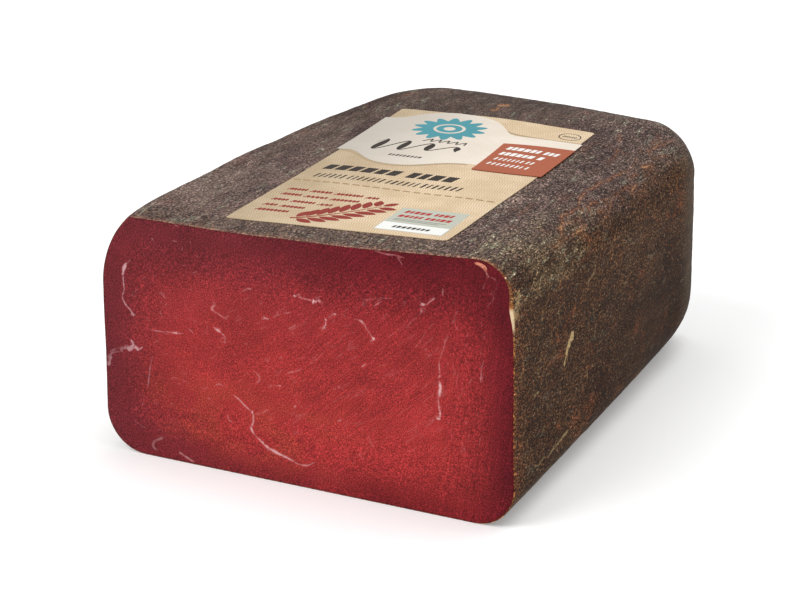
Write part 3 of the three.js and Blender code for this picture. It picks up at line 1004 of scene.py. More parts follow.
CREAM_STREAKS = {
    "ridge": (0.6, 0.7, [(134, 219), (136.8, 216.6), (144, 210.2), (151.1, 205.6), (156.2, 201)]),
    "corner": (0.55, 1.0, [(500.6, 271.7), (503.5, 265), (506.4, 258.3)]),
    "edge patch": (2.4, 0.4, [(518.5, 290), (517.5, 304), (516.5, 318)]),
    "edge wedge": (1.1, 0.9, [(511.3, 306), (512.4, 315), (513.4, 324)]),
    "upper": (3.0, 1.0, [(573.6, 332), (571, 338.5), (567.6, 345.5)]),
    "lower": (1.8, 0.9, [(567.6, 345.5), (566.6, 354), (564.4, 366)]),
    "above": (0.8, 0.6, [(596, 263), (594, 272), (587, 284)]),
    "behind": (0.9, 0.7, [(588, 369), (587.3, 380)]),
    "near edge": (0.9, 0.7, [(541, 279), (539, 290)]),
    "middle": (0.6, 0.5, [(563, 272), (560, 283), (559, 292)]),
    "upright": (0.6, 0.5, [(559, 305.3), (560, 324.7)]),
    "small": (0.7, 0.5, [(553.9, 358.4), (558, 353.3)]),
    "near": (0.7, 0.5, [(534.5, 397), (539.6, 391)]),
    "low": (0.7, 0.5, [(541.6, 432.9), (544.7, 425.7)]),
    "foot": (1.0, 0.65, [(547, 457), (553, 450), (560, 441), (565, 434), (571.2, 427)]),
    "foot beside": (0.8, 0.45, [(534, 469), (541, 461.5), (545, 456)]),
    "left far": (0.9, 0.45, [(292, 137), (300, 133)]),
    "left far beside": (0.8, 0.45, [(280, 145.5), (292, 140.4)]),
    "left middle": (0.7, 0.4, [(267.6, 170), (280, 167)]),
    "left near": (0.8, 0.4, [(223.7, 191.4), (239, 187.3)]),
    "left front": (1.0, 0.4, [(190, 222), (208, 212)]),
    "back": (0.5, 0.45, [(465, 105.3), (478.7, 99.5), (488, 97.2)]),
    "back beside": (0.5, 0.45, [(490.2, 105.3), (504, 98.4)]),
}
RUST_CRACKS = {
    "upright": (0.4, 0.9, [(560.5, 237.9), (561.1, 228.7), (561.7, 217.3), (569.7, 212.7), (578.9, 208.1)]),
    "rising": (0.45, 0.9, [(578.9, 208.1), (585.8, 209.2), (590.4, 203.5), (597.3, 202.3)]),
    "upper": (0.35, 0.8, [(578.9, 205.8), (579.5, 198.9), (584.6, 192)]),
    "upper line": (0.35, 0.8, [(584.6, 192), (601.8, 182.8), (609.9, 179.4), (620.2, 173.6)]),
    "right": (0.35, 0.6, [(589.2, 213.8), (606.4, 210.4)]),
    "below": (0.5, 0.7, [(570.8, 236.8), (578.9, 231), (585.8, 225.3)]),
    "low left": (0.45, 0.7, [(552.5, 248.3), (561.7, 241.4), (567.4, 236.8)]),
    "far line": (0.35, 0.5, [(602, 201), (615, 195), (632, 184)]),
    "far knot": (0.8, 0.8, [(642, 167.9), (652.4, 165.6)]),
    "far climb": (0.35, 0.65, [(651.2, 158.7), (648.9, 150.7), (662.7, 144.9), (675.3, 139.2)]),
    "far dash": (0.3, 0.6, [(653.5, 157.6), (668.4, 155.3)]),
    "far edge": (0.6, 0.4, [(684.5, 157.6), (686.8, 166.7)]),
    "far tick": (0.45, 0.7, [(628.3, 178.2), (637.4, 173.6)]),
    "far tick below": (0.45, 0.7, [(629.4, 192), (637.4, 185.1)]),
    "back patch": (3.4, 0.55, [(500, 106), (505.1, 105.3), (510, 106)]),
    "back patch beside": (2.4, 0.5, [(491, 110), (494.8, 109.8), (499, 109)]),
}

# The dark band's reach from the left, the right, the foot and the top, and how dark it gets at the foot
BAND_REACH = (15, 9, 8, 19)
FOOT_BAND = 0.62

# The spacing of a stroke's spots and of the mesh that carries it, its share of width at its ends,
# and the lengths over which it swells and wanders
STROKE_STEP = 0.12
STROKE_MESH_STEP = 0.4
THIN_END = 0.3
SWELL_LENGTH = 1.7
SWELL_SHIFT = Vector((7, 3, 1))
WANDER_LENGTH = 2.2

# Marks that are laid by their angle round the block: the height of its middle, and a way from there
# that ends outside the block
MARK_CENTRE = HALF_WIDTH * 0.6
OUTSIDE = 200

# Marks scattered between the strokes: from and to, or the mean and the spread of an angle in degrees
HAIRLINES = {
    "count": 460,
    "specks": 160,
    "across": (-50, 52),
    "up": (7, 59),
    "upright beyond": 38,
    "slanting beyond": -5,
    "upright angle": (78, 7),
    "slanting angle": (32, 7),
    "slant's growth": 0.4,
    "left angle": (12, 30),
    "slanting length": (0.6, 5.0),
    "left length": (0.6, 2.4),
    "speck length": (0.15, 0.4),
    "speck width": (0.28, 0.5),
    "width": (0.12, 0.22),
    "bend": (-0.12, 0.12),
    "strength": (0.25, 0.6),
}
CRACKS = {
    "count": 34,
    "angle by the edge": (28, 6),
    "angle elsewhere": (-30, 210),
    "start": (20, 128),
    "length": (4, 14),
    "drift": (-2.5, 2.5),
    "width": (0.25, 0.5),
    "strength": (0.25, 0.6),
}
STREAKS = {
    "count": 18,
    "angle": (-26, 20),
    "start": (2, 62),
    "rise": (2.0, 6.0),
    "lean": (0.5, 2.5),
    "width": (0.3, 0.8),
    "strength": (0.2, 0.6),
}


def smooth_path(corners, step=STROKE_STEP):
    """Evenly spaced spots on a smooth curve through the corners."""
    spots = []
    for k in range(len(corners) - 1):
        before = corners[max(k - 1, 0)]
        first, second = corners[k], corners[k + 1]
        after = corners[min(k + 2, len(corners) - 1)]
        steps = max(2, round((second - first).length / step))
        for i in range(steps):
            t = i / steps
            curve = 2 * first + (second - before) * t
            curve += (2 * before - 5 * first + 4 * second - after) * t ** 2
            curve += (3 * first - before - 3 * second + after) * t ** 3
            spots.append(curve / 2)
    spots.append(corners[-1])
    return spots


CUT_SECTION = Section(0.0)


class Marks:
    """Marks of one kind on a surface, kept as closely spaced spots with half widths and strengths."""

    def __init__(self, name, surface, wander):
        self.name = name
        self.surface = surface
        self.wander = wander
        self.spots = []
        self.halves = []
        self.strengths = []

    def lay(self, path, width, strength):
        """One mark along the path: it wanders a little, swells and thins out at its ends."""
        if len(path) < 2:
            return
        dense = smooth_path(path)
        for index, spot in enumerate(dense):
            done = index / (len(dense) - 1)
            taper = min(1.0, THIN_END + 5 * min(done, 1 - done))
            swell = 0.8 + 0.5 * noise.noise(spot / SWELL_LENGTH + SWELL_SHIFT)
            self.spots.append(spot + noise.noise_vector(spot / WANDER_LENGTH) * self.wander)
            self.halves.append(0.5 * width * swell * taper)
            self.strengths.append(strength * (0.85 + 0.15 * taper))

    def lay_seen(self, strokes):
        """Marks where the photograph shows them, cast from the camera onto the surface."""
        for width, strength, pixels in strokes.values():
            path = [self.surface.ray_cast(*pixel_ray(pixel))[0] for pixel in pixels]
            self.lay([spot for spot in path if spot is not None], width, strength)

    def lay_round(self, corners, width, strength):
        """A mark whose corners are angles round the block, in degrees, and distances along it."""
        path = []
        for angle, y in corners:
            out = upright_way(angle)
            start = Vector((0, y, MARK_CENTRE)) + out * OUTSIDE
            path.append(self.surface.ray_cast(start, -out)[0])
        self.lay([spot for spot in path if spot is not None], width, strength)

    def write(self, piece, points):
        """Gives each vertex its way to the nearest mark, and that mark's half width and strength."""
        tree = KDTree(len(self.spots))
        for index, spot in enumerate(self.spots):
            tree.insert(spot, index)
        tree.balance()
        offsets, near, halves, strengths = [], [], [], []
        for point in points:
            spot, index, distance = tree.find(point)
            offsets += (spot - point)[:]
            near.append(distance)
            halves.append(self.halves[index])
            strengths.append(self.strengths[index])
        layer = piece.data.attributes.new(self.name + "_offset", "FLOAT_VECTOR", "POINT")
        layer.data.foreach_set("vector", offsets)
        set_attribute(piece, self.name + "_near", near)
        set_attribute(piece, self.name + "_half", halves)
        set_attribute(piece, self.name + "_strength", strengths)


def pixel_ray(pixel):
    right, up, back = camera_axes()
    across = (pixel[0] - PHOTO_WIDTH / 2) / FOCAL_PIXELS
    rise = (PHOTO_HEIGHT / 2 - pixel[1]) / FOCAL_PIXELS
    return camera_place(), (right * across + up * rise - back).normalized()


def upright_way(angle):
    """The way in the plane of the cut face that goes at an angle in degrees, 0 to the right and 90 up."""
    return Vector((math.cos(math.radians(angle)), 0, math.sin(math.radians(angle))))


def lay_hairlines(marks, seed):
    """Fine threads and specks of fat: rising to the right over the right half, upright at its edge."""
    draw = random.Random(seed)
    for number in range(HAIRLINES["count"] + HAIRLINES["specks"]):
        x = draw.uniform(*HAIRLINES["across"])
        z = draw.uniform(*HAIRLINES["up"])
        side = "slanting" if x > HAIRLINES["slanting beyond"] else "left"
        mean, spread = HAIRLINES[side + " angle"]
        if side == "slanting":
            mean += HAIRLINES["slant's growth"] * x
        if x > HAIRLINES["upright beyond"]:
            mean, spread = HAIRLINES["upright angle"]
        angle = draw.gauss(mean, spread)
        speck = number >= HAIRLINES["count"]
        length = draw.uniform(*HAIRLINES["speck length" if speck else side + " length"])
        way = upright_way(angle) * length
        width = draw.uniform(*HAIRLINES["speck width" if speck else "width"])
        bend = Vector((-way.z, 0, way.x)) * draw.uniform(*HAIRLINES["bend"])
        start = Vector((x, CUT_HOLLOW, z))
        strength = draw.uniform(*HAIRLINES["strength"])
        marks.lay([start, start + way / 2 + bend, start + way], width, strength)


def lay_cracks(marks, seed):
    """Rusty lines that run along the rind by its upper right edge, and a few elsewhere."""
    draw = random.Random(seed)
    for number in range(CRACKS["count"]):
        if number % 4:
            angle = draw.gauss(*CRACKS["angle by the edge"])
        else:
            angle = draw.uniform(*CRACKS["angle elsewhere"])
        y, length, drift = (draw.uniform(*CRACKS[part]) for part in ("start", "length", "drift"))
        corners = [(angle, y), (angle + drift * 0.2, y + length / 2), (angle + drift, y + length)]
        marks.lay_round(corners, draw.uniform(*CRACKS["width"]), draw.uniform(*CRACKS["strength"]))


def lay_streaks(marks, seed):
    """Short cream streaks that stand up the right side, most of them near the cut."""
    draw = random.Random(seed)
    near, far = STREAKS["start"]
    for _ in range(STREAKS["count"]):
        angle = draw.uniform(*STREAKS["angle"])
        y = near + (far - near) * draw.random() ** 2
        rise, lean = (draw.uniform(*STREAKS[part]) for part in ("rise", "lean"))
        corners = [(angle, y), (angle + rise * 0.6, y + lean * 0.4), (angle + rise, y + lean)]
        marks.lay_round(corners, draw.uniform(*STREAKS["width"]), draw.uniform(*STREAKS["strength"]))


def from_sides(point):
    """Distances from the cut face's left, right, foot and top."""
    top = CUT_SECTION.pressed(point.x, CUT_SECTION.high)[1] - point.z
    return point.x - CUT_SECTION.left, CUT_SECTION.right - point.x, point.z, top


def from_edge(point):
    """The distance from the cut face's outline, with its round corners."""
    left, right, foot, top = from_sides(point)
    near = min(left, right, foot, top)
    ridge_drop = CUT_SECTION.top_left * (1 - math.cos(math.radians(CUT_SECTION.ridge)))
    corners = (
        (left, foot, CUT_SECTION.bottom_left),
        (right, foot, CUT_SECTION.bottom_right),
        (left, top + ridge_drop, CUT_SECTION.top_left),
        (right, top, CUT_SECTION.top_right),
    )
    for sideways, upright, radius in corners:
        if sideways < radius and upright < radius:
            near = min(near, radius - math.hypot(radius - sideways, radius - upright))
    return near


def behind_cut(point):
    """The way from the meat's edge over the rim and back along the rind."""
    width = rim_width(point.x, point.z)
    if point.y > RIM_SWELL["width"]:
        return point.y + width
    return point.y + max(0.0, width - max(0.0, from_edge(point)))


def band(depth, reach):
    """0 at a side and 1 well inside it."""
    return 1 - math.exp(-max(0.0, depth / reach) ** 1.8)


def core_depth(point):
    """0 in the dark dried band behind the rim and 1 in the red middle; the band is widest at the top."""
    left, right, foot, top = (band(*pair) for pair in zip(from_sides(point), BAND_REACH))
    return left * right * top * (1 - FOOT_BAND * (1 - foot))


def set_attribute(piece, name, values):
    layer = piece.data.attributes.new(name, "FLOAT", "POINT")
    layer.data.foreach_set("value", values)


def skin_faces(count, rings):
    """Quads between the rings, anticlockwise rings running backwards, with a fan at each end."""
    faces = []
    for base in range(0, (rings - 1) * count, count):
        for i in range(count):
            a, b = base + i, base + (i + 1) % count
            faces.append((a, a + count, b + count, b))
    start, end = rings * count, rings * count + 1
    base = (rings - 1) * count
    for i in range(count):
        after = (i + 1) % count
        faces.append((start, i, after))
        faces.append((base + i, end, base + after))
    return faces


def make_rind():
    rings = rind_rings()
    points = [point for ring in rings for point in ring]
    points += [middle_of(rings[0]), middle_of(rings[-1])]
    faces = skin_faces(len(rings[0]), len(rings))
    piece = new_piece("rind", points, faces, rind_finish())
    surface = BVHTree.FromPolygons(points, faces)
    kinds = (("crack", RUST_CRACKS, lay_cracks, 5), ("streak", CREAM_STREAKS, lay_streaks, 9))
    for name, strokes, lay_more, seed in kinds:
        marks = Marks(name, surface, wander=0.5)
        marks.lay_seen(strokes)
        lay_more(marks, seed)
        marks.write(piece, points)
    set_attribute(piece, "rim", [behind_cut(point) for point in points])
    set_attribute(piece, "fleck", [fleck_share(point) for point in points])
    return piece


def cut_points():
    """The cut face's outline and, inside it, evenly spaced points in rows."""
    outline = rim_ring(CUT_FRONT, 1.0, -CUT_OVERLAP)
    inside = []
    row_height = CUT_STEP * ROW_SHARE
    half_grid = GRID_SIDE * HALF_WIDTH
    for row in range(int(GRID_TOP * TOP_REACH[0] / row_height)):
        for column in range(int(2 * half_grid / CUT_STEP)):
            x = (column + row % 2 / 2) * CUT_STEP - half_grid
            spot = Vector((x, 0, row * row_height))
            if from_edge(spot) > rim_width(spot.x, spot.z) + CUT_STEP:
                inside.append(spot)
    return outline, inside


def filled(corners, count, tolerance):
    """Triangles, anticlockwise, over the corners, of which the first count are the outline."""
    outline = [list(range(count))]
    flat, _, triangles, _, _, _ = delaunay_2d_cdt(corners, [], outline, 1, tolerance)
    upward = []
    for a, b, c in triangles:
        turn = (flat[b] - flat[a]).cross(flat[c] - flat[a])
        upward.append((a, b, c) if turn > 0 else (a, c, b))
    return flat, upward


def make_cut():
    """The cut face as a thin closed slice that sits in the rind's recess."""
    outline, inside = cut_points()
    corners = [Vector((point.x, point.z)) for point in outline + inside]
    count = len(outline)
    flat, faces = filled(corners, count, 1e-5)
    points = []
    for spot in flat:
        point = Vector((spot.x, CUT_FRONT, spot.y))
        near = from_edge(point)
        share = max(0.0, 1 - near / HOLLOW_REACH)
        point.y += CUT_HOLLOW * (1 - share * share)
        rough = sum(noise.noise(point / size) * height for size, height in CUT_ROUGHNESS)
        point.y += rough * smoothstep(near, *ROUGH_FROM_EDGE)
        points.append(point)
    back = len(points)
    points += [Vector((flat[i].x, RECESS_DEPTH + CUT_OVERLAP, flat[i].y)) for i in range(count)]
    points.append(middle_of(points[back:]))
    for i in range(count):
        after = (i + 1) % count
        faces.append((i, back + i, back + after, after))
        faces.append((back + i, back + count, back + after))
    piece = new_piece("cut_face", points, faces, cut_finish())
    veins = Marks("vein", BVHTree.FromPolygons(points, faces), wander=0.3)
    veins.lay_seen(FAT_STROKES)
    lay_hairlines(veins, seed=2)
    veins.write(piece, points)
    set_attribute(piece, "core", [core_depth(point) for point in points])
    return piece


# The label


def around(middle, radius, turn):
    return middle[0] + radius * math.cos(turn), middle[1] + radius * math.sin(turn)


def rounded_rectangle(left, front, right, back, radius, steps=5):
    outline = []
    corners = (
        (right - radius, front + radius, -90),
        (right - radius, back - radius, 0),
        (left + radius, back - radius, 90),
        (left + radius, front + radius, 180),
    )
    for cu, cv, start in corners:
        for step in range(steps + 1):
            outline.append(around((cu, cv), radius, math.radians(start + 90 * step / steps)))
    return outline


def bezier(start, first, second, end, steps=12):
    points = []
    for step in range(steps):
        t = step / steps
        s = 1 - t
        weights = (s ** 3, 3 * s * s * t, 3 * s * t * t, t ** 3)
        corners = (start, first, second, end)
        points.append((
            sum(w * corner[0] for w, corner in zip(weights, corners)),
            sum(w * corner[1] for w, corner in zip(weights, corners)),
        ))
    return points


def draped(name, outlines, height, thickness, material, spacing=2.2):
    """Closed thin sheets cut to the outlines and laid on the block's top."""
    points = []
    faces = []
    for outline in outlines:
        add_draped(points, faces, outline, height, thickness, spacing)
    return new_piece(name, points, faces, material, smooth=False)


def add_draped(points, faces, outline, height, thickness, spacing):
    flat, triangles = cut_sheet(outline, spacing)
    base = len(points)
    size = len(flat)
    for lift in (height, height + thickness):
        for u, v in flat:
            x, y = label_to_block(u, v)
            points.append(Vector((x, y, top_height(x, y) + lift)))
    sides = {}
    for triangle in triangles:
        faces.append(tuple(base + size + i for i in triangle))
        faces.append(tuple(base + i for i in reversed(triangle)))
        for a, b in zip(triangle, triangle[1:] + triangle[:1]):
            sides[(a, b)] = True
    for a, b in sides:
        if (b, a) not in sides:
            faces.append((base + a, base + b, base + size + b, base + size + a))


def cut_sheet(outline, spacing):
    """The outline filled with triangles, small enough to follow the top."""
    dense = []
    for (au, av), (bu, bv) in zip(outline, outline[1:] + outline[:1]):
        steps = max(1, math.ceil(math.hypot(bu - au, bv - av) / spacing))
        for step in range(steps):
            dense.append(Vector((au + (bu - au) * step / steps, av + (bv - av) * step / steps)))
    corners = list(dense)
    low_u = min(point.x for point in dense)
    low_v = min(point.y for point in dense)
    columns = int((max(point.x for point in dense) - low_u) / spacing)
    rows = int((max(point.y for point in dense) - low_v) / spacing)
    for column in range(1, columns + 1):
        for row in range(1, rows + 1):
            spot = Vector((low_u + column * spacing, low_v + row * spacing))
            if clear_inside(spot, dense, spacing / 3):
                corners.append(spot)
    return filled(corners, len(dense), 1e-4)


def clear_inside(spot, outline, margin):
    inside = False
    for first, second in zip(outline, outline[1:] + outline[:1]):
        if (first.y > spot.y) != (second.y > spot.y):
            cross = first.x + (spot.y - first.y) / (second.y - first.y) * (second.x - first.x)
            if spot.x < cross:
                inside = not inside
        if (first - spot).length < margin:
            return False
    return inside


# The small blocks' height, their shortest and longest, and the gap between two
BAR_STYLES = {
    "broad": (4.6, (2.0, 3.3), 0.8),
    "narrow": (3.4, (0.5, 0.8), 0.95),
    "tag broad": (2.7, (0.9, 1.5), 0.42),
    "tag narrow": (2.3, (0.4, 0.6), 0.75),
    "panel upper": (2.1, (0.7, 1.2), 0.4),
    "panel lower": (2.0, (0.7, 1.2), 0.4),
    "strip": (1.7, (0.6, 1.0), 0.4),
    "pen": (1.6, (0.5, 0.9), 0.5),
    "seal": (1.3, (0.3, 0.5), 0.3),
}

# Lines of them: style, left, right, front, seed, and how far some sink on their way
TITLE_LINES = [("broad", 3.7, 41.9, 45.6, 3, 0.8)]
SUBTITLE_LINES = [("narrow", 4.5, 47.7, 38.5, 8)]
TAG_LINES = [
    ("tag broad", 43.3, 58.5, 78.1, 21),
    ("tag broad", 43.1, 56.3, 73.1, 22),
    ("tag narrow", 43.5, 54.5, 68.5, 23),
    ("tag narrow", 43.3, 55.5, 63.9, 24),
]
PANEL_LINES = [("panel upper", 40.4, 54.6, 17.6, 31), ("panel lower", 40.2, 54.9, 14.0, 32)]
STRIP_LINES = [("strip", 42.6, 52.6, 5.4, 33)]
PEN_LINES = [("pen", 15.2, 26.2, 62.4, 34, 1.2)]
SEAL_LINES = [("seal", 52.6, 56.6, 97.7, 35)]

# Lines of small waves: left, right, front, seed and how far they sink
RED_LINES = [
    (3.5, 29.4, 26.3, 11, 1.2),
    (3.8, 25.8, 21.9, 12, 1.0),
    (3.6, 20.7, 17.1, 13, 0.8),
    (3.7, 17.6, 12.4, 14, 0.5),
    (3.8, 12.7, 8.2, 15, 0.3),
]
WAVES_LENGTH = (3.0, 8.0)
SHORTEST_WAVES = 2.5
WAVES_GAP = 1.3
WAVE_WIDTH = 1.15
WAVE_RISE = 1.5
WAVE_STROKE = 0.5

# The label's parts, in its own plane
BANNER_LOW = 62.4
BANNER_LEFT = -0.9
BANNER_RIGHT = 60.2
BOWL_LOW = 54.7
BOWL_HIGH = 105.8
BOWL_MIDDLE = 20.2
TAG_OUTLINE = [(41.8, 57.6), (60.5, 59.9), (60.5, 86.2), (40.9, 83)]
GREY_PANEL = [(38.7, 3.2), (56.8, 3.1), (56.3, 22.1), (38.7, 21.6)]
WHITE_STRIP = [(39, 3.5), (56.5, 3.4), (56.3, 9.2), (38.9, 9.3)]
FLOWER = (21.6, 90.2)
SEAL = (54.6, 98.4)


def banner_outline():
    outline = [(BANNER_LEFT, BANNER_LOW + 1.8)]
    outline += bezier((2.6, 64.4), (7.6, 64), (9.6, BOWL_LOW), (BOWL_MIDDLE, BOWL_LOW))
    outline += bezier((BOWL_MIDDLE, BOWL_LOW), (29.6, BOWL_LOW), (30.6, 61.4), (43.6, BANNER_LOW))
    outline += [(BANNER_RIGHT, BANNER_LOW), (BANNER_RIGHT, 92.8)]
    outline += bezier((42.4, 91), (35, 91), (38, 105), (BOWL_MIDDLE - 2, BOWL_HIGH))
    outline += bezier((BOWL_MIDDLE - 2, BOWL_HIGH), (8, BOWL_HIGH), (8, 96), (0.6, 96))
    outline += [(BANNER_LEFT, 96)]
    return outline


RIB_WIDTH = 0.72
RIB_ZIGZAG = 3.2


def paper_finish(name):
    """Matt paper with painted light that makes it paler to the right, with faint clouds and, on some, a
    ribbed weave.
    """
    left_tone, right_tone, left_shade, right_shade, rib = PAPERS[name]
    finish = Finish(name, Specular_IOR_Level=0.2)
    # Painted light: the paper's tone and the shade of its clouds both grow paler towards the right
    rightward = finish.zone("painted light towards the label's right")
    tone = finish.mix(rightward, left_tone, right_tone)
    shade = finish.mix(rightward, left_shade, right_shade)
    clouds = finish.grain("paper clouds").fade(0.35, 0.65)
    fibres = finish.grain("paper fibres")
    base = finish.dye(clouds * 0.4 + fibres.fade(0.3, 0.8) * 0.3, shade, tone)
    height = fibres
    if rib:
        zigzag = (finish.axis["along"] * (2 * math.pi / RIB_ZIGZAG)).sine() * 0.3
        ribs = ((finish.axis["across"] / RIB_WIDTH + zigzag) * (2 * math.pi)).sine() * 0.5 + 0.5
        base = finish.dye(ribs * rib, shade, base)
        height = fibres * 0.4 + ribs
    return finish.show(
        Base_Color=base,
        Roughness=fibres * 0.12 + 0.7,
        Normal=finish.bump(height, 0.05, 0.7),
    )


def ink_finish(name):
    tone, shade = INKS[name]
    finish = Finish(name, Specular_IOR_Level=0.25)
    patchy = finish.grain("ink patches")
    return finish.show(
        Base_Color=finish.mix(patchy.fade(0.4, 0.8) * 0.5, tone, shade),
        Roughness=patchy * 0.15 + 0.6,
        Normal=finish.bump(patchy, 0.01, 0.5),
    )


def slanted_bar(left, front, length, height, slant=0.2):
    """A bar that leans to the right, with u, v of its front left corner."""
    lean = height * slant
    return [
        (left, front),
        (left + length, front),
        (left + length + lean, front + height),
        (left + lean, front + height),
    ]


def line_of_bars(style, left, right, front, seed, drop=0.0):
    """A line of small upright blocks in groups; it sinks by drop on its way."""
    height, sizes, gap = BAR_STYLES[style]
    draw = random.Random(seed)
    bars = []
    at = left
    until_space = draw.randint(5, 9)
    while at < right - sizes[0]:
        length = min(draw.uniform(*sizes), right - at)
        tall = height * draw.uniform(0.9, 1.0)
        sunk = front - drop * (at - left) / (right - left)
        bars.append(slanted_bar(at, sunk, length, tall))
        at += length + gap
        until_space -= 1
        if until_space == 0:
            at += sizes[0]
            until_space = draw.randint(4, 8)
    return bars


def lines(make_line, rows):
    """The shapes of all the lines that the rows describe."""
    return [shape for row in rows for shape in make_line(*row)]


def ribbon(path, halves):
    """The outline of a line that runs along the path with the half widths given."""
    left = []
    right = []
    for k, (point, half) in enumerate(zip(path, halves)):
        before = path[max(k - 1, 0)]
        after = path[min(k + 1, len(path) - 1)]
        du = after[0] - before[0]
        dv = after[1] - before[1]
        size = math.hypot(du, dv)
        left.append((point[0] - dv / size * half, point[1] + du / size * half))
        right.append((point[0] + dv / size * half, point[1] - du / size * half))
    return right + left[::-1]


def scribble(left, right, front, height, stroke, waves):
    """A small slanting wave."""
    path = []
    for step in range(8 * waves + 1):
        t = step / (8 * waves)
        rise = 0.5 - 0.5 * math.cos(2 * math.pi * waves * t)
        path.append((left + (right - left) * t + 0.35 * height * rise, front + height * rise))
    return ribbon(path, [stroke / 2] * len(path))


def line_of_waves(left, right, front, seed, drop):
    """A line of small waves; it sinks by drop on its way."""
    draw = random.Random(seed)
    groups = []
    at = left
    while at < right - SHORTEST_WAVES:
        length = min(draw.uniform(*WAVES_LENGTH), right - at)
        if right - at - length < SHORTEST_WAVES:
            length = right - at
        sunk = front - drop * (at - left) / (right - left)
        count = max(2, round(length / WAVE_WIDTH))
        groups.append(scribble(at, at + length, sunk, WAVE_RISE, WAVE_STROKE, count))
        at += length + WAVES_GAP
    return groups


def leaf(start, length, width, angle, steps=8):
    """A pointed leaf from its start outwards at an angle in degrees."""
    direction = math.radians(angle)
    outline = []
    for side in (-1, 1):
        for step in range(steps):
            t = step / steps if side < 0 else 1 - step / steps
            out = side * width / 2 * math.sin(math.pi * t) ** 0.8
            spot = around(start, length * t, direction)
            outline.append(around(spot, out, direction + math.pi / 2))
    return outline


def disc(middle, radius, steps=28):
    return [around(middle, radius, 2 * math.pi * k / steps) for k in range(steps)]


def star_flower(middle, inner, outer, petals):
    """One outline of a round flower with pointed petals."""
    outline = []
    for k in range(petals * 6):
        turn = 2 * math.pi * k / (petals * 6)
        share = abs(math.cos(turn * petals / 2)) ** 1.5
        outline.append(around(middle, inner + (outer - inner) * share, turn))
    return outline


def flourish(left=6.1, front=71.5, length=26.5, climb=0.6, waves=3.6, high=5.0, low=2.3, steps=110):
    """A waving pen stroke, thick where it falls."""
    path = []
    halves = []
    for step in range(steps + 1):
        t = step / steps
        turn = 2 * math.pi * waves * t ** 0.92 + 0.4
        rise = (high + (low - high) * t) * math.sin(turn)
        path.append((left + length * t + 0.4 * rise, front + climb * t + rise))
        falling = max(0.0, -math.cos(turn))
        ends = smoothstep(t, 0.0, 0.08) * smoothstep(1 - t, 0.0, 0.08)
        halves.append((0.28 + 0.85 * falling ** 1.5) * (0.15 + 0.85 * ends))
    return ribbon(path, halves)


def sprig(left=15.6, front=4.6, length=17.6, climb=15.6, steps=24):
    """A generic leafy sprig on a bent stalk."""
    stalk = []
    for step in range(steps + 1):
        t = step / steps
        stalk.append((left + length * t, front + climb * t ** 1.35))
    outlines = [ribbon(stalk, [0.45 - 0.012 * k for k in range(steps + 1)])]
    for k in range(2, steps, 3):
        before, after = stalk[k - 1], stalk[k + 1]
        lean = math.degrees(math.atan2(after[1] - before[1], after[0] - before[0]))
        size = 4.9 + 0.32 * k - 0.014 * k * k
        for side in (-1, 1):
            start = around(stalk[k], 0.75, math.radians(lean + 90 * side))
            outlines.append(leaf(start, size, width=2.5, angle=lean + 50 * side))
    outlines.append(leaf((33.4, 20.5), length=4.6, width=2.2, angle=52))
    return outlines


def ring_strip(middle, outer_u, outer_v, band, pieces=24):
    """A thin oval ring, in short lengths that all but touch."""
    strips = []
    for k in range(pieces):
        turns = (2 * math.pi * k / pieces, 2 * math.pi * (k + 0.99) / pieces)
        corners = ((band, turns[0]), (0, turns[0]), (0, turns[1]), (band, turns[1]))
        strips.append([
            (middle[0] + (outer_u - inset) * math.cos(turn), middle[1] + (outer_v - inset) * math.sin(turn))
            for inset, turn in corners
        ])
    return strips


def label_sheets():
    """The label's three sheets from the lowest up: outline, finish, slot and the node it replaces."""
    sheet = rounded_rectangle(0, 0, LABEL_WIDTH, LABEL_LENGTH, LABEL_CORNER)
    return {
        "label_sheet": (sheet, "kraft", "kraft_paper", "label_base"),
        "banner_sheet": (banner_outline(), "off_white", "banner_paper", "label_banner"),
        "tag_sheet": (TAG_OUTLINE, "terracotta", "tag_paper", "label_tag"),
    }


def label_prints():
    """Each print's slot, how many inks lie beneath it, its finish and its outlines."""
    flower = star_flower(FLOWER, inner=7.6, outer=10.8, petals=14)
    fine_lines = [slanted_bar(40.4, 12.2, 13.5, 0.4), slanted_bar(40.3, 11.1, 12.0, 0.4)]
    seal = ring_strip(SEAL, 3.2, 3.3, band=0.32) + lines(line_of_bars, SEAL_LINES)
    small_wave = scribble(19.1, 31.6, front=77.1, height=2.4, stroke=0.5, waves=5)
    pen_strokes = [flourish(), small_wave] + lines(line_of_bars, PEN_LINES)
    return {
        "banner_shadow": ("kraft_paper", 0, "shadow_ink", banner_shadows()),
        "grey_panel": ("kraft_paper", 0, "grey_panel", [GREY_PANEL]),
        "white_strip": ("kraft_paper", 1, "white_panel", [WHITE_STRIP]),
        "panel_bars": ("kraft_paper", 1, "bright_red_ink", lines(line_of_bars, PANEL_LINES)),
        "panel_fine_lines": ("kraft_paper", 1, "grey_ink", fine_lines),
        "strip_bars": ("kraft_paper", 2, "dark_ink", lines(line_of_bars, STRIP_LINES)),
        "title_bars": ("kraft_paper", 0, "dark_ink", lines(line_of_bars, TITLE_LINES)),
        "subtitle_bars": ("kraft_paper", 0, "dark_ink", lines(line_of_bars, SUBTITLE_LINES)),
        "red_words": ("kraft_paper", 0, "red_ink", lines(line_of_waves, RED_LINES)),
        "sprig": ("kraft_paper", 0, "red_ink", sprig()),
        "seal": ("kraft_paper", 0, "dark_ink", seal),
        "star_flower": ("banner_paper", 0, "teal_ink", [flower]),
        "flower_ring": ("banner_paper", 1, "off_white", ring_strip(FLOWER, 4.6, 4.6, band=0.9)),
        "flower_middle": ("banner_paper", 1, "off_white", [disc(FLOWER, 1.7)]),
        "pen_strokes": ("banner_paper", 0, "dark_ink", pen_strokes),
        "tag_bars": ("tag_paper", 0, "white_panel", lines(line_of_bars, TAG_LINES)),
    }


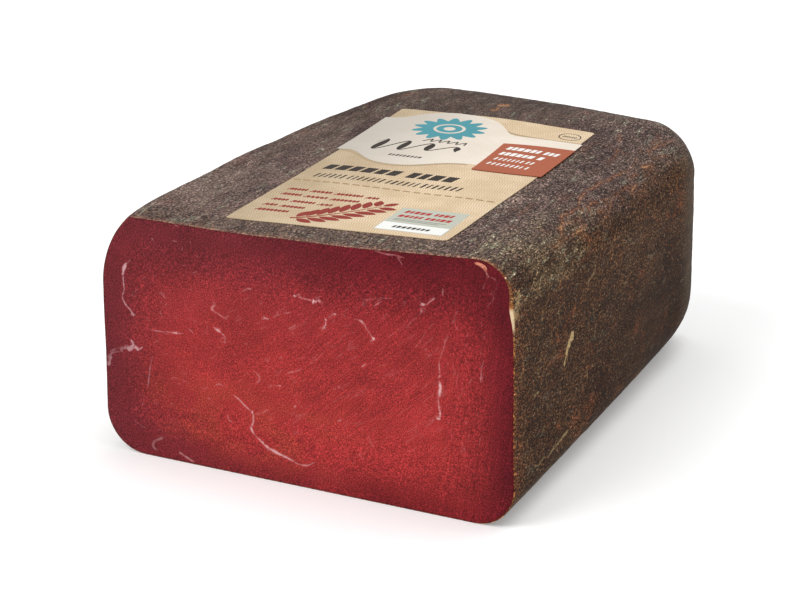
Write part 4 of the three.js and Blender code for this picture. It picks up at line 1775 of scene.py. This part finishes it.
def make_label():
    finishes = {name: paper_finish(name) for name in PAPERS}
    finishes.update((name, ink_finish(name)) for name in INKS)
    tops = {}
    height = BASE_HEIGHT
    for name, (outline, finish, slot, node) in label_sheets().items():
        finish_piece(draped(name, [outline], height, PAPER, finishes[finish]), slot, node)
        height += PAPER
        tops[slot] = height
    for name, (slot, inks_below, finish, outlines) in label_prints().items():
        height = tops[slot] + inks_below * INK
        finish_piece(draped(name, outlines, height, INK, finishes[finish]), slot)
    make_dashes(tops["kraft_paper"], finishes["dash_ink"])


def banner_shadows():
    """The soft edge that the banner leaves on the kraft paper, in front of it and behind."""
    front = bezier((0.3, 63.6), (7.6, 64), (9.6, BOWL_LOW - 0.5), (BOWL_MIDDLE, BOWL_LOW - 0.5))
    front += bezier((BOWL_MIDDLE, BOWL_LOW - 0.5), (29.6, BOWL_LOW - 0.5), (30.6, 60.9), (41.5, 61.8))
    back = bezier((59.2, 93.3), (44, 91), (36, 91), (30.5, 102.4))
    return [ribbon(front, [0.55] * len(front)), ribbon(back, [0.6] * len(back))]


# Geometry Nodes


class NodeTree:
    """A Geometry Nodes tree with named inputs for its sizes."""

    def __init__(self, name, inputs):
        self.tree = bpy.data.node_groups.new(name, "GeometryNodeTree")
        self.keys = {}
        self.tree.interface.new_socket("Geometry", in_out="INPUT", socket_type="NodeSocketGeometry")
        for label, kind in inputs.items():
            socket = self.tree.interface.new_socket(label, in_out="INPUT", socket_type=kind)
            self.keys[label] = socket.identifier
        self.tree.interface.new_socket("Geometry", in_out="OUTPUT", socket_type="NodeSocketGeometry")
        self.group_in = self.tree.nodes.new("NodeGroupInput")
        self.group_out = self.tree.nodes.new("NodeGroupOutput")

    def add(self, kind, settings, sockets, output=0):
        return add_node(self.tree, kind, settings, sockets).outputs[output]

    def given(self, label):
        return self.group_in.outputs[label]

    def close(self, geometry, material):
        realized = self.add("GeometryNodeRealizeInstances", {}, {"Geometry": geometry})
        sockets = {"Geometry": realized, "Material": material}
        self.tree.links.new(self.add("GeometryNodeSetMaterial", {}, sockets), self.group_out.inputs[0])

    def grow(self, carrier, values):
        """Runs the tree on the carrier object and gives the plain mesh that it makes."""
        modifier = carrier.modifiers.new("grow", "NODES")
        modifier.node_group = self.tree
        for label, value in values.items():
            modifier[self.keys[label]] = value
        graph = bpy.context.evaluated_depsgraph_get()
        mesh = bpy.data.meshes.new_from_object(carrier.evaluated_get(graph))
        carrier.modifiers.remove(modifier)
        return mesh


DASHES = {"Length": 58.0, "Count": 20, "Dash": (2.0, 0.75, INK)}
DASHES_START = (0.7, 35.1)
DASHES_FALL = 0.022


def make_dashes(height, material):
    """The dashed line across the label: bars on a line, laid on the paper afterwards."""
    kinds = {"Length": "NodeSocketFloat", "Count": "NodeSocketInt", "Dash": "NodeSocketVector"}
    rows = NodeTree("dashed_line", kinds)
    sockets = {0: rows.given("Length"), 1: rows.given("Count")}
    step = rows.add("ShaderNodeMath", {"operation": "DIVIDE"}, sockets)
    sockets = {"Count": rows.given("Count"), "Offset": rows.add("ShaderNodeCombineXYZ", {}, {"X": step})}
    line = rows.add("GeometryNodeMeshLine", {"mode": "OFFSET"}, sockets)
    bar = rows.add("GeometryNodeMeshCube", {}, {"Size": rows.given("Dash"), "Vertices X": 3}, "Mesh")
    rows.close(rows.add("GeometryNodeInstanceOnPoints", {}, {"Points": line, "Instance": bar}), material)
    carrier = linked("dash_carrier", bpy.data.meshes.new("dash_carrier"))
    mesh = rows.grow(carrier, DASHES)
    bpy.data.objects.remove(carrier)
    for vertex in mesh.vertices:
        u = vertex.co.x + DASHES_START[0] + DASHES["Dash"][0] / 2
        x, y = label_to_block(u, vertex.co.y + DASHES_START[1] - DASHES_FALL * u)
        vertex.co = placed((x, y, top_height(x, y) + height + INK / 2 + vertex.co.z))
    mesh.update()
    finish_piece(linked("dashes", mesh), "kraft_paper")


FLECKS = {"Per square metre": 90000.0, "Seed": 4, "Grain": (0.26 * MM, 0.12 * MM, 0.08 * MM)}
FLECK_SWING = 0.7
FLECK_SIZES = (0.5, 1.5)

# Where the crumbs lie: behind and above these, with more at the front and at the right, in clumps
FLECKS_BEHIND = 1.0
FLECKS_ABOVE = 4.0
FLECKS_FRONT = (5, 90)
FLECKS_RIGHT = (35, 50)
CLUMP_SIZES = (9, 15, 9)
CLUMP_EDGE = (-0.2, 0.4)


def fleck_finish():
    finish = Finish("crust_flecks", Specular_IOR_Level=0.15)
    grit = finish.grain("crumb grit")
    base = finish.mix(finish.grain("crumb tints").fade(0.4, 0.6), "pale crumb", "grey crumb")
    return finish.show(
        Base_Color=finish.dye(grit.fade(0.5, 0.7) * 0.5, "rusty crumb", base),
        Roughness=grit * 0.2 + 0.75,
        Normal=finish.bump(grit, 0.05, 0.6),
    )


def make_flecks(rind):
    """Small pale crumbs of dried crust, lying along the rind."""
    kinds = {"Per square metre": "NodeSocketFloat", "Seed": "NodeSocketInt", "Grain": "NodeSocketVector"}
    crumbs = NodeTree("crust_flecks", kinds)
    seed = crumbs.given("Seed")
    number = {"data_type": "FLOAT"}
    share = crumbs.add("GeometryNodeInputNamedAttribute", number, {"Name": "fleck"}, "Attribute")
    sockets = {0: share, 1: crumbs.given("Per square metre")}
    density = crumbs.add("ShaderNodeMath", {"operation": "MULTIPLY"}, sockets)
    sockets = {"Mesh": crumbs.given("Geometry"), "Density": density, "Seed": seed}
    spots = crumbs.add("GeometryNodeDistributePointsOnFaces", {}, sockets, "Points")
    ball = crumbs.add("GeometryNodeMeshIcoSphere", {}, {"Radius": 1.0, "Subdivisions": 1}, "Mesh")
    crumb = crumbs.add("GeometryNodeTransform", {}, {"Geometry": ball, "Scale": crumbs.given("Grain")})
    sockets = {"Rotation": spots.node.outputs["Rotation"], "Vector": (0, 1, 0)}
    axes = {"axis": "X", "pivot_axis": "Z"}
    lengthwise_turn = crumbs.add("FunctionNodeAlignRotationToVector", axes, sockets)
    sockets = {"Min": (0, 0, -FLECK_SWING), "Max": (0, 0, FLECK_SWING), "Seed": seed}
    swing = crumbs.add("FunctionNodeRandomValue", {"data_type": "FLOAT_VECTOR"}, sockets)
    swing_turn = crumbs.add("FunctionNodeEulerToRotation", {}, {0: swing})
    sockets = {"Rotation": lengthwise_turn, "Rotate By": swing_turn}
    turn = crumbs.add("FunctionNodeRotateRotation", {"rotation_space": "LOCAL"}, sockets)
    sockets = {2: FLECK_SIZES[0], 3: FLECK_SIZES[1], "Seed": seed}
    size = crumbs.add("FunctionNodeRandomValue", number, sockets, 1)
    sockets = {"Points": spots, "Instance": crumb, "Rotation": turn, "Scale": size}
    crumbs.close(crumbs.add("GeometryNodeInstanceOnPoints", {}, sockets), fleck_finish())
    finish_piece(linked("crust_flecks", crumbs.grow(rind, FLECKS)), "beef")


def fleck_share(point):
    """How thickly the crumbs lie: most at the front of the top, none under the label or on the foot."""
    if point.y < FLECKS_BEHIND or point.z < FLECKS_ABOVE or under_label(*point) > 0:
        return 0.0
    front = 1 - smoothstep(point.y, *FLECKS_FRONT)
    right_side = smoothstep(point.x, *FLECKS_RIGHT)
    spot = Vector([value / size for value, size in zip(point, CLUMP_SIZES)])
    clumps = smoothstep(noise.noise(spot), *CLUMP_EDGE)
    return (0.25 + 0.35 * front + 0.1 * right_side) * (0.3 + 0.7 * clumps)


add_camera()
add_studio()
add_floor()
rind = make_rind()
make_flecks(rind)
finish_piece(rind, "beef", "beef")
finish_piece(make_cut(), "beef", "beef")
make_label()
